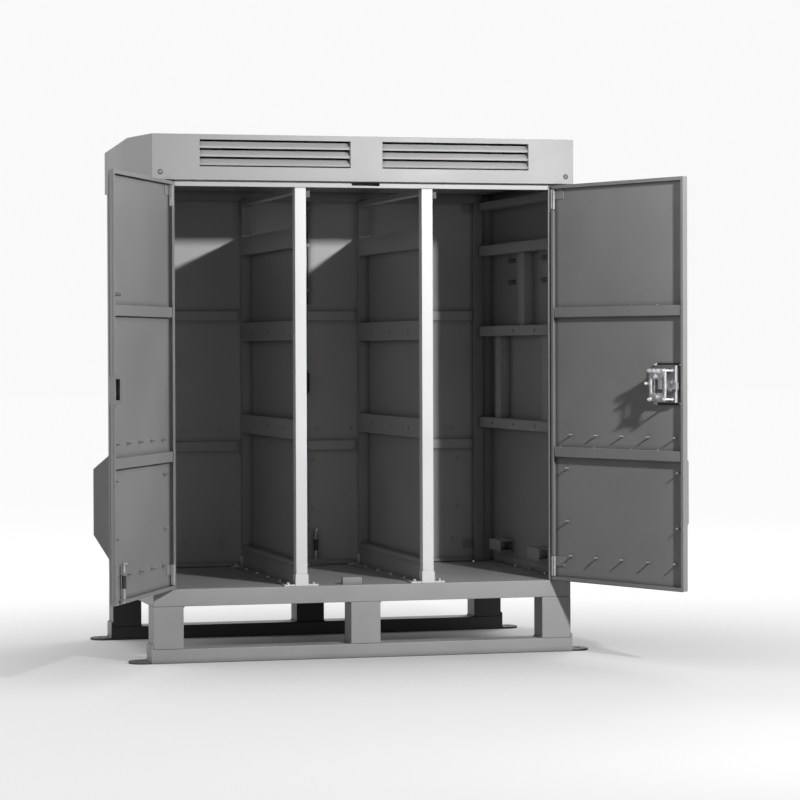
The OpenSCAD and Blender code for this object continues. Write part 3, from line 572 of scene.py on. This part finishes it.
def turned(rings, spots, axes, sides=24, outline=None, dent=None):
    """Rings of (radius, height) carried round an axis through each spot, closed by a point over the first
    ring and one under the last. One axis serves all spots, or each has its own. outline is a factor on the
    radius by angle, dent a depth by radius and angle that is taken off the height."""
    rings = np.asarray(rings, float)
    spots = np.atleast_2d(np.asarray(spots, float))
    axes = np.broadcast_to(np.asarray(axes, float), spots.shape)
    angle = np.arange(sides) * 2 * np.pi / sides
    steady = np.where(np.abs(axes[:, 2:]) < 0.9, [[0.0, 0.0, 1.0]], [[1.0, 0.0, 0.0]])
    side = np.cross(steady, axes)
    side /= np.linalg.norm(side, axis=1)[:, None]
    across = np.cross(axes, side)
    radius = rings[:, :1] * (outline(angle) if outline else np.ones(sides))
    height = np.repeat(rings[:, 1:], sides, 1)
    ends = rings[[0, -1], 1].copy()
    if dent:
        height = height - dent(rings[:, :1], angle)
        ends[0] -= dent(0.0, 0.0)
    x, y = radius * np.cos(angle), radius * np.sin(angle)
    round_points = spots[:, None, None] + x[None, ..., None] * side[:, None, None] \
        + y[None, ..., None] * across[:, None, None] + height[None, ..., None] * axes[:, None, None]
    end_points = spots[:, None] + ends[None, :, None] * axes[:, None]
    points = np.concatenate([round_points.reshape(len(spots), -1, 3), end_points], 1)
    one = grid_faces(len(rings), sides, closed=True).tolist() + end_caps(len(rings), sides)
    count = len(rings) * sides + 2
    faces = [[i + k * count for i in face] for k in range(len(spots)) for face in one]
    return points, faces


def end_caps(rings, sides):
    """Triangles that close the first and the last of a stack of rings, each to a point stored after them."""
    count, last = rings * sides, (rings - 1) * sides
    here = np.arange(sides)
    ahead = (here + 1) % sides
    over = np.stack([np.full(sides, count), here, ahead], 1)
    under = np.stack([np.full(sides, count + 1), last + ahead, last + here], 1)
    return over.tolist() + under.tolist()


def cross_recess(depth, reach, width):
    """Depth of a cross cut into a head: full where a point lies in one of the two arms, else nothing."""
    def cut(radius, angle):
        """Depth at a place, by its distance from the nearer of the two arms' middle lines."""
        arm = np.minimum(np.abs(radius * np.sin(angle)), np.abs(radius * np.cos(angle)))
        return np.where((radius < reach) & (arm < width), depth, 0.0)
    return cut


def pan_head(radius, height, spots, axes):
    """Low domed screw heads with a cross recess; the dome falls with the fourth power of the radius."""
    r = np.array([0.10, 0.16, 0.30, 0.45, 0.60, 0.66, 0.80, 0.92, 1.0, 1.0]) * radius
    h = height * (1 - 0.45 * (r / radius) ** 4)
    h[-1] = SUNK
    recess = cross_recess(0.55 * height, 0.63 * radius, 0.17 * radius)
    return turned(np.stack([r, h], 1), spots, axes, 40, dent=recess)


rubber = soft_rubber("black_rubber", RUBBER_BLACK)
hood_washers = gather("hood_screw_washers", [turned(WASHER_RINGS, HOOD_SCREWS, HOOD_OUT, 36)], rubber)
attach(hood_washers, "cabinet")
screw_zinc = zinc_plate("screw_zinc", SCREW_GREY, gloss=0.5)
finish_nodes(screw_zinc, ["hood_screws"], fold=0.0005)
hood_heads = gather("hood_screw_heads", [pan_head(HEAD_R, HEAD_H, HOOD_SCREWS, HOOD_OUT)], screw_zinc)
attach(hood_heads, "cabinet")
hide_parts("hood_screws")

# Dividers. Square tube uprights on foot plates, with cross bars of folded strip, a sheet panel and a kick
# channel on the floor, all of painted steel; the front uprights and the feet have the palest coat.
POST_GREY = (0.90, 0.90, 0.90)
INNER_GREY = (0.36, 0.36, 0.36)
post_paint = powder_coat("post_paint", POST_GREY, spread=0.05)
finish_nodes(post_paint, ["divider_front_posts", "post_feet"], fold=0.0015)
inner_paint = powder_coat("inner_paint", INNER_GREY, spread=0.10)
finish_nodes(inner_paint, ["divider_rear_posts", "divider_bars", "divider_panels", "divider_kicks"],
             fold=0.001)

# Divider screws. Three cross-head screws hold each of the two lower bars, and a row of small rivets holds
# the panel at its rear edge; all are painted over with the divider.
DIVIDERS = (-0.230, 0.230)
BAR_SCREW_Y = (0.246, -0.022, -0.285)
BAR_SCREW_Z = (0.8065, 1.1555)
BAR_FACE = -0.020
RIVET_Y = 0.415
RIVET_Z = (0.445, 0.626, 0.960, 1.060, 1.297)
PANEL_FACE = 0.017
SMALL_HEAD_R = 0.0055
SMALL_HEAD_H = 0.0032
RIVET_RINGS = [(0.0015, 0.0026), (0.003, 0.0022), (0.0042, 0.0012), (0.0046, SUNK)]
LEFTWARDS = (-1.0, 0.0, 0.0)
bar_screws = [(x + BAR_FACE, y, z) for x in DIVIDERS for y in BAR_SCREW_Y for z in BAR_SCREW_Z]
rivets = [(x + PANEL_FACE, RIVET_Y, z) for x in DIVIDERS for z in RIVET_Z]
divider_screws = gather("divider_screws", [
    pan_head(SMALL_HEAD_R, SMALL_HEAD_H, bar_screws, LEFTWARDS),
    turned(RIVET_RINGS, rivets, LEFTWARDS, 20)], inner_paint)
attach(divider_screws, "cabinet")

# Post tabs. A small angle of folded steel strip is welded to each front upright, just under the header, and
# coloured near black, painted shade for the shade under the header.
TAB_FOLD = np.array([(0, 0), (0.014, 0), (0.014, 0.003), (0.003, 0.003), (0.003, 0.020), (0, 0.020)])
TAB_SIDE = 0.020
TAB_Y = -0.477
TAB_Z = (1.622, 1.645)


def carried(profile, starts, ends):
    """A closed profile, given as offsets in metres, carried from each start to its end, with flat ends."""
    profile = np.asarray(profile, float)
    starts, ends = np.atleast_2d(np.asarray(starts, float)), np.atleast_2d(np.asarray(ends, float))
    points = np.stack([starts[:, None] + profile, ends[:, None] + profile], 1)
    n = len(profile)
    one = grid_faces(2, n, closed=True).tolist() + [list(range(n)), list(range(2 * n - 1, n - 1, -1))]
    faces = [[i + k * 2 * n for i in face] for k in range(len(starts)) for face in one]
    return points, faces


tab_profile = np.column_stack([TAB_FOLD, np.zeros(len(TAB_FOLD))])
tab_ends = [[(x + TAB_SIDE, TAB_Y, z) for x in DIVIDERS] for z in TAB_Z]
post_tabs = gather("post_tabs", [carried(tab_profile, *tab_ends)], shade_black_paint, smooth=False)
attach(post_tabs, "cabinet")

# Floor bolts. Six-sided zinc plated bolts hold the kick channels and the foot plates to the pan; a flat
# washer lies under each head.
KICK_BOLTS = [(x - 0.038, y, 0.261) for x in DIVIDERS for y in (-0.2898, -0.0966, 0.0966, 0.2898)]
PLATE_BOLTS = [(x + side, y, 0.264) for x in DIVIDERS for y in (-0.458, 0.458) for side in (-0.046, 0.046)]
BOLT_WASHER_RINGS = [(0.0085, 0.0016), (0.0102, 0.0016), (0.0108, 0.0011), (0.0108, SUNK)]
FLOOR_ZINC_GREY = (0.40, 0.40, 0.41)
UPWARDS = (0.0, 0.0, 1.0)
floor_zinc = zinc_plate("floor_zinc", FLOOR_ZINC_GREY, gloss=0.45)
finish_nodes(floor_zinc, ["floor_bolts"], fold=0.0006)
bolt_washers = gather("bolt_washers", [
    turned(BOLT_WASHER_RINGS, KICK_BOLTS + PLATE_BOLTS, UPWARDS, 32)], floor_zinc)
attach(bolt_washers, "cabinet")

# Side wall fittings. Rails, struts and open sockets of folded sheet, screwed to the walls, and the stops and
# strikes that the doors' bolts meet; all are painted as the dividers are.
RAIL_FACE = 0.700
RAIL_SCREW_Y = (0.295, 0.021, -0.246)
RAIL_SCREW_Z = (0.804, 1.157)
finish_nodes(inner_paint, ["side_wall_rails", "wall_struts", "side_sockets", "floor_stops", "bolt_strikes"],
             fold=0.001)
rail_screws = [(hand * RAIL_FACE, hand * y, z) for hand in (1, -1) for y in RAIL_SCREW_Y for z in RAIL_SCREW_Z]
rail_out = [(-math.copysign(1, x), 0, 0) for x, y, z in rail_screws]
wall_screws = gather("wall_screws", [pan_head(SMALL_HEAD_R, SMALL_HEAD_H, rail_screws, rail_out)], inner_paint)
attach(wall_screws, "cabinet")

# Tie bridges. Short straps are pressed out of the wall sheet above the middle rail, in pairs, to take
# cable ties. They are coloured near black, painted shade for the shadow in the slots under them.
WALL_FACE = 0.756
BRIDGE_Y = (0.212, -0.200)
BRIDGE_Z = (1.429, 1.420, 1.346, 1.337)
BRIDGE_WAY = np.array([(-0.048, SUNK), (-0.042, 0.0012), (-0.037, 0.0050), (0.0, 0.0058), (0.037, 0.0050),
                       (0.042, 0.0012), (0.048, SUNK)])
BRIDGE_W = 0.0055
BRIDGE_THICK = 0.0016


def strap(path, across, width, thick):
    """A flat strap: a rectangle, width by thick, carried along a path and turned with it, so that its width
    stays along across and its thickness square to the path."""
    path, across = np.asarray(path, float), np.asarray(across, float)
    along = np.gradient(path, axis=0)
    rise = np.cross(across, along)
    rise /= np.linalg.norm(rise, axis=1)[:, None]
    half = across * width / 2
    points = np.stack([path - half, path + half, path + half + rise * thick, path - half + rise * thick], 1)
    last = 4 * (len(path) - 1)
    faces = grid_faces(len(path), 4, closed=True).tolist()
    return points, faces + [[0, 1, 2, 3], [last + 3, last + 2, last + 1, last]]


bridges = []
for hand in (1, -1):
    for y in BRIDGE_Y:
        for z in BRIDGE_Z:
            way = np.column_stack([hand * (WALL_FACE - BRIDGE_WAY[:, 1]), hand * (y + BRIDGE_WAY[:, 0]),
                                   np.full(len(BRIDGE_WAY), z)])
            bridges.append(strap(way, UPWARDS, BRIDGE_W, BRIDGE_THICK))
tie_bridges = gather("tie_bridges", bridges, shade_black_paint)
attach(tie_bridges, "cabinet")

# Foot angles. An angle of folded sheet lies along the foot of each side wall, painted with the walls' rails.
# Zinc plated bolts with flat washers hold it to the pan.
FOOT_ANGLE = np.array([(0, 0), (-0.030, 0), (-0.030, 0.003), (-0.003, 0.003), (-0.003, 0.030), (0, 0.030)])
FOOT_ANGLE_HALF = 0.462
FOOT_ANGLE_Z = 0.258
FOOT_BOLT_X = 0.738
FOOT_BOLT_Y = (0.330, 0.120, -0.060, -0.250)
FOOT_BOLT_Z = 0.261
FOOT_BOLT_R = 0.0078
FOOT_BOLT_H = 0.0075
FOOT_WASHER_RINGS = [(0.0075, 0.0014), (0.0092, 0.0014), (0.0097, 0.0010), (0.0097, SUNK)]
angle_parts = []
for hand in (1, -1):
    profile = np.column_stack([hand * FOOT_ANGLE[:, 0], np.zeros(len(FOOT_ANGLE)), FOOT_ANGLE[:, 1]])
    angle_ends = [(hand * WALL_FACE, y, FOOT_ANGLE_Z) for y in (-FOOT_ANGLE_HALF, FOOT_ANGLE_HALF)]
    angle_parts.append(carried(profile, *angle_ends))
foot_angles = gather("foot_angles", angle_parts, inner_paint, smooth=False)
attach(foot_angles, "cabinet")


def six_sided(angle):
    """Distance from the middle of a six-sided head to its edge by angle, where a corner is 1."""
    return math.cos(math.pi / 6) / np.cos(angle % (math.pi / 3) - math.pi / 6)


def hex_head(radius, height, spots, axes):
    """Six-sided heads or nuts with a chamfered top."""
    rings = [(0.55 * radius, height), (0.84 * radius, height), (0.97 * radius, 0.88 * height),
             (radius, 0.80 * height), (radius, SUNK)]
    return turned(rings, spots, axes, 48, outline=six_sided)


foot_bolts = [(hand * FOOT_BOLT_X, hand * y, FOOT_BOLT_Z) for hand in (1, -1) for y in FOOT_BOLT_Y]
wall_bolts = gather("wall_foot_bolts", [
    turned(FOOT_WASHER_RINGS, foot_bolts, UPWARDS, 32),
    hex_head(FOOT_BOLT_R, FOOT_BOLT_H, foot_bolts, UPWARDS)], screw_zinc, smooth=False)
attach(wall_bolts, "cabinet")

# Doors. Each is a sheet steel pan with returned edges, with two cross channels welded inside and a closed
# hood outside, sprayed with one coat. The rear pair's inner faces are coloured paler, painted light for the
# light that falls into the bays.
DOORS = ("front_left", "front_right", "rear_left", "rear_right")
DOOR_GREY = (0.325, 0.325, 0.325)
REAR_INNER_LIT_GREY = 0.53
REAR_INNER_REACH = 0.5035
door_paint = powder_coat("door_paint", DOOR_GREY, spread=0.08)
# The rear pair's paler inner faces are painted light.
rear_door_lit_paint = powder_coat("rear_door_lit_paint", DOOR_GREY, spread=0.08,
                              inner=(REAR_INNER_LIT_GREY, REAR_INNER_REACH))
for door in DOORS:
    pair_paint = rear_door_lit_paint if door.startswith("rear") else door_paint
    finish_nodes(pair_paint, [door + "_door", door + "_stiffeners", door + "_vent_hood"], fold=0.0007)

# Hinges. Each is a lift-off pair of steel leaves, welded to the jamb and to the door and painted with them,
# with a turned barrel and pin that are left bare.
PIVOT = (0.692, 0.493)
BARREL_R = 0.0092
BARREL_GREY = 0.85
HINGE_GREY = (0.36, 0.36, 0.36)
hinge_paint = powder_coat("hinge_paint", HINGE_GREY, spread=0.08, pin=PIVOT + (BARREL_R, BARREL_GREY))
finish_nodes(hinge_paint, ["hinge_brackets"] + [door + "_hinges" for door in DOORS], fold=0.0005)

# Door sweeps. A strip of black rubber closes the gap under each door; it is pressed into the door's lower
# return and stands clear of the pan. The rear pair's has a deeper lip.
PIVOT_V = 0.011
OPEN_TURN = {"front_left": 116.5, "front_right": 112.5, "rear_left": 0.0, "rear_right": 0.0}
SWEEP_LIP = {"front": 0.0026, "rear": 0.0062}
SWEEP_ENDS = (0.014, 0.676)
SWEEP_Z = 0.261


def at_door(door, places):
    """Places given along a door from its hinge edge, inwards from its outer face and up, as places in the
    cabinet: turned about the door's pivot by how far it stands open, mirrored for the latch doors, and
    turned half round for the rear pair."""
    places = np.asarray(places, float)
    turn = -math.radians(OPEN_TURN[door])
    hand = 1 if door in ("front_left", "rear_right") else -1
    end = 1 if door.startswith("front") else -1
    along, inward = places[..., 0], places[..., 1] - PIVOT_V
    x = -PIVOT[0] + along * math.cos(turn) - inward * math.sin(turn)
    y = -PIVOT[1] + along * math.sin(turn) + inward * math.cos(turn)
    return np.stack([end * hand * x, end * y, places[..., 2]], -1)


def on_door(door, parts, middle=(0, 0, 0)):
    """Surfaces drawn about a middle on a door, each moved to its place in the cabinet."""
    return [(at_door(door, np.asarray(points).reshape(-1, 3) + middle), faces) for points, faces in parts]


def sweep_section(lip):
    """Section of a sweep, as places along, inwards and up: a flat rib, 7 mm thick, that narrows to a lip which
    hangs lip metres below the door."""
    return np.array([(0, 0.007, 0.0035), (0, 0.007, -0.0010), (0, 0.009, -lip), (0, 0.012, -lip),
                     (0, 0.014, -0.0010), (0, 0.014, 0.0035)])


for door in DOORS:
    section = sweep_section(SWEEP_LIP[door.split("_")[0]])
    rib = carried(section, *[(u, 0, SWEEP_Z) for u in SWEEP_ENDS])
    sweep_strip = gather(door + "_sweep", on_door(door, [rib]), rubber, smooth=False)
    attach(sweep_strip, door + "_door")

# Stitch welds. Short dabs of weld hold the upper edge of each door's cross channels to its sheet; they are
# painted over, and coloured a little paler than the door as a painted highlight on the dabs.
STITCH_U = (0.0275, 0.2090, 0.4065, 0.5425)
STITCH_V = 0.002
STITCH_Z = (0.7372, 1.2361)
STITCH_HALF = 0.006
STITCH_R = 0.0042
INWARDS = (0.0, 1.0, 0.0)
for door in DOORS:
    dabs = [weld_bead((u - STITCH_HALF, STITCH_V, z), (u + STITCH_HALF, STITCH_V, z), INWARDS, UPWARDS,
                      STITCH_R) for u in STITCH_U for z in STITCH_Z]
    # The dabs' paler grey is a painted highlight.
    stitches = gather(door + "_stitch_welds", on_door(door, dabs), hood_paint)
    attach(stitches, door + "_door")

# Meeting strips. A narrow strip of steel is tacked to the free edge of each bolt door, and closes most of the
# gap to the latch door; it is left out where the latch bolt passes.
BOLT_DOORS = (("front", "front_left"), ("rear", "rear_right"))
STRIP = np.array([(0.6896, 0.0060, 0), (0.6920, 0.0064, 0), (0.6920, 0.0126, 0), (0.6896, 0.0130, 0)])
STRIP_LOWS = [(0, 0, 0.275), (0, 0, 1.006)]
STRIP_HIGHS = [(0, 0, 0.915), (0, 0, 1.657)]
for end, door in BOLT_DOORS:
    lengths = carried(STRIP, STRIP_LOWS, STRIP_HIGHS)
    strip = gather(end + "_meeting_strip", on_door(door, [lengths]), door_paint, smooth=False)
    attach(strip, door + "_door")

# Keepers and slide bolts. The keepers, each with a rubber strike cup, and the bolts' brackets are folded
# strip, painted with the doors, as are the top bolts; each bottom bolt is zinc plated, with a black sleeve
# moulded on it for the hand.
CUP_MID = (0.687, 0.0305, 0.9605)
CUP_RINGS = [(0.0078, 0.0358, -0.0105), (0.0080, 0.0360, -0.0002), (0.0098, 0.0378, -0.0002),
             (0.0100, 0.0380, -0.0010), (0.0100, 0.0380, -0.0128), (0.0096, 0.0376, -0.0134)]
CUP_CORNER = 8.0
BOLT_ZINC_GREY = (0.44, 0.44, 0.45)
BOLT_SLEEVE = (0.315, 0.3575)
bolt_zinc = zinc_plate("bolt_zinc", BOLT_ZINC_GREY, sleeve=BOLT_SLEEVE)


def oblong(sides, corner):
    """Outline of a rounded oblong, one wide and one tall: a superellipse with the given power, by angle."""
    angle = np.arange(sides) * 2 * np.pi / sides
    c, s = np.cos(angle), np.sin(angle)
    return np.sign(c) * np.abs(c) ** (2 / corner), np.sign(s) * np.abs(s) ** (2 / corner)


def cupped(rings, middle, sides=64):
    """A cup with a rounded oblong mouth: each ring is (half depth, half height, place along the door), and
    points close its floor inside and outside."""
    rings = np.asarray(rings, float)
    wide, tall = oblong(sides, CUP_CORNER)
    along = np.repeat(rings[:, 2:], sides, 1)
    points = np.stack([along, rings[:, :1] * wide, rings[:, 1:2] * tall], -1).reshape(-1, 3)
    points = np.concatenate([points, [(rings[0, 2], 0, 0), (rings[-1, 2], 0, 0)]]) + np.asarray(middle)
    return points, grid_faces(len(rings), sides, closed=True).tolist() + end_caps(len(rings), sides)


for end, door in BOLT_DOORS:
    finish_nodes(door_paint, [end + "_keeper", end + "_slide_brackets", end + "_top_bolt"], fold=0.0005)
    finish_nodes(bolt_zinc, [end + "_bottom_bolt"], fold=0.0005)
    cup = gather(end + "_strike_cup", on_door(door, [cupped(CUP_RINGS, CUP_MID)]), rubber)
    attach(cup, door + "_door")

# Latches. A pressed dish with a T handle outside; inside, a crank drives a sliding bolt in a lipped guide.
# A windowed cover plate on four studs carries a return spring and a release knob, and nuts hold the dish at
# its corners; all is zinc plated, and a black gasket lies round the dish.
LATCH_DOORS = (("front", "front_right"), ("rear", "rear_left"))
LATCH_ZINC_GREY = (0.74, 0.74, 0.75)
DISH_GREY = (0.26, 0.26, 0.27)
SHAFT = np.array((0.6025, 0.0, 0.966))
PLATE_V = (0.0578, 0.0606)
PLATE_OUT = (0.046, 0.056, -0.003)
PLATE_IN = (0.026, 0.023, -0.007)
PLATE_CORNER = 7.0
DISH_BACK = 0.0218
STUD_FEET = np.array([(u, DISH_BACK, z) for z in (0.046, -0.052) for u in (-0.038, 0.038)])
NUT_SEATS = STUD_FEET + (0, PLATE_V[1] - DISH_BACK, 0)
STUD_REACH = PLATE_V[1] - DISH_BACK
STUD_RINGS = [(0.0030, STUD_REACH + 0.010), (0.0034, STUD_REACH + 0.0095), (0.0034, 0.0060), (0.0060, 0.0055),
              (0.0060, 0.0)]
NUT_WASHER_RINGS = [(0.0066, 0.0014), (0.0078, 0.0013), (0.0080, 0.0008), (0.0080, -0.0002)]
NUT_LIFT = (0, 0.0013, 0)
SPRING_ENDS = ((-0.031, 0.0680, 0.046), (0.031, 0.0680, 0.046))
COILS = 9
COIL_R = 0.0062
WIRE_R = 0.0011
STEPS_A_COIL = 28
WIRE_SIDES = 8
GUIDE_SCREW = (-0.0075, PLATE_V[1], 0.027)
PIVOT_NUT = (0.0, PLATE_V[1], -0.044)
KNOB_FOOT = (-0.0455, 0.0592, 0.002)
KNOB_RINGS = [(0.0018, 0.0185), (0.0042, 0.0175), (0.0062, 0.0150), (0.0070, 0.0115), (0.0064, 0.0080),
              (0.0040, 0.0060), (0.0030, 0.0050), (0.0030, -0.0010)]
CORNER_FEET = np.array([(u, 0.002, z) for z in (0.066, -0.066) for u in (-0.0645, 0.0645)])
CORNER_STUD_RINGS = [(0.0024, 0.0125), (0.0028, 0.0120), (0.0028, SUNK)]
CORNER_WASHER_RINGS = [(0.0050, 0.0012), (0.0062, 0.0011), (0.0065, SUNK)]
CORNER_NUT_LIFT = (0, 0.0011, 0)
latch_zinc = zinc_plate("latch_zinc", LATCH_ZINC_GREY, gloss=0.30)


def window_plate(outer, inner, low, high, sides=96):
    """A flat plate with a window. Its edge and its window are rounded oblongs of (half width, half height,
    height of the middle), and a rounded section from low to high is carried round between them."""
    wide, tall = oblong(sides, PLATE_CORNER)
    edge = np.stack([outer[0] * wide, outer[1] * tall + outer[2]], -1)
    window = np.stack([inner[0] * wide, inner[1] * tall + inner[2]], -1)
    round_off = (high - low) * 0.25
    share = np.array([0.0, 0.0, 0.02, 0.98, 1.0, 1.0, 0.98, 0.02])
    near, far = low + round_off, high - round_off
    level = np.array([near, far, high, high, far, near, low, low])
    flat = edge[:, None] * (1 - share)[None, :, None] + window[:, None] * share[None, :, None]
    points = np.stack([flat[..., 0], np.broadcast_to(level, flat.shape[:2]), flat[..., 1]], -1)
    cells = len(share)
    here, cell = np.meshgrid(np.arange(sides), np.arange(cells), indexing="ij")
    on, next_cell = (here + 1) % sides, (cell + 1) % cells
    faces = np.stack([here * cells + cell, on * cells + cell, on * cells + next_cell,
                      here * cells + next_cell], -1)
    return points, faces.reshape(-1, 4).tolist()


def coil_spring(start, end):
    """A spring: a wire of round section carried along a helix about the line from start to end. The helix
    opens from half its radius to the whole over the first half turn, and closes again over the last."""
    start, end = np.asarray(start, float), np.asarray(end, float)
    steps = COILS * STEPS_A_COIL
    share = np.linspace(0, 1, steps)
    phase = 2 * np.pi * COILS * share
    line = (end - start) / np.linalg.norm(end - start)
    side = np.cross(line, INWARDS)
    up = np.cross(side, line)
    draw = COIL_R * np.clip(0.5 + np.minimum(share, 1 - share) * COILS, 0.5, 1.0)
    out = np.cos(phase)[:, None] * side + np.sin(phase)[:, None] * up
    path = start + share[:, None] * (end - start) + draw[:, None] * out
    along = np.gradient(path, axis=0)
    along /= np.linalg.norm(along, axis=1)[:, None]
    third = np.cross(along, out)
    ring = np.arange(WIRE_SIDES) * 2 * np.pi / WIRE_SIDES
    section = np.cos(ring)[None, :, None] * out[:, None] + np.sin(ring)[None, :, None] * third[:, None]
    count = WIRE_SIDES * steps
    faces = grid_faces(steps, WIRE_SIDES, closed=True).tolist()
    faces += [list(range(WIRE_SIDES)), list(range(count - 1, count - WIRE_SIDES - 1, -1))]
    return path[:, None] + WIRE_R * section, faces


for end, door in LATCH_DOORS:
    foot, tip = at_door(door, [(0, 0, 0), INWARDS])
    dish_zinc = zinc_plate(end + "_dish_zinc", DISH_GREY, gloss=0.40, metal=0.35, draw=tuple(tip - foot))
    finish_nodes(dish_zinc, [end + "_latch_dish"], fold=0.0008)
    finish_nodes(latch_zinc, [end + "_latch_guide", end + "_latch_bolt", end + "_latch_handle"], fold=0.0005)
    finish_nodes(rubber, [end + "_latch_gasket"], fold=0.0005)
    gear = [window_plate(PLATE_OUT, PLATE_IN, *PLATE_V),
            turned(STUD_RINGS, STUD_FEET, INWARDS, 20),
            turned(NUT_WASHER_RINGS, NUT_SEATS, INWARDS, 28),
            hex_head(0.0066, 0.0062, NUT_SEATS + NUT_LIFT, INWARDS),
            coil_spring(*SPRING_ENDS),
            pan_head(0.0080, 0.0050, GUIDE_SCREW, INWARDS),
            hex_head(0.0080, 0.0070, PIVOT_NUT, INWARDS),
            turned(KNOB_RINGS, KNOB_FOOT, LEFTWARDS, 28)]
    latch_gear = gather(end + "_latch_gear", on_door(door, gear, SHAFT), latch_zinc)
    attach(latch_gear, door + "_door")
    corners = [turned(CORNER_STUD_RINGS, CORNER_FEET, INWARDS, 18),
               turned(CORNER_WASHER_RINGS, CORNER_FEET, INWARDS, 24),
               hex_head(0.0056, 0.0050, CORNER_FEET + CORNER_NUT_LIFT, INWARDS)]
    dish_nuts = gather(end + "_dish_nuts", on_door(door, corners, SHAFT), latch_zinc)
    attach(dish_nuts, door + "_door")
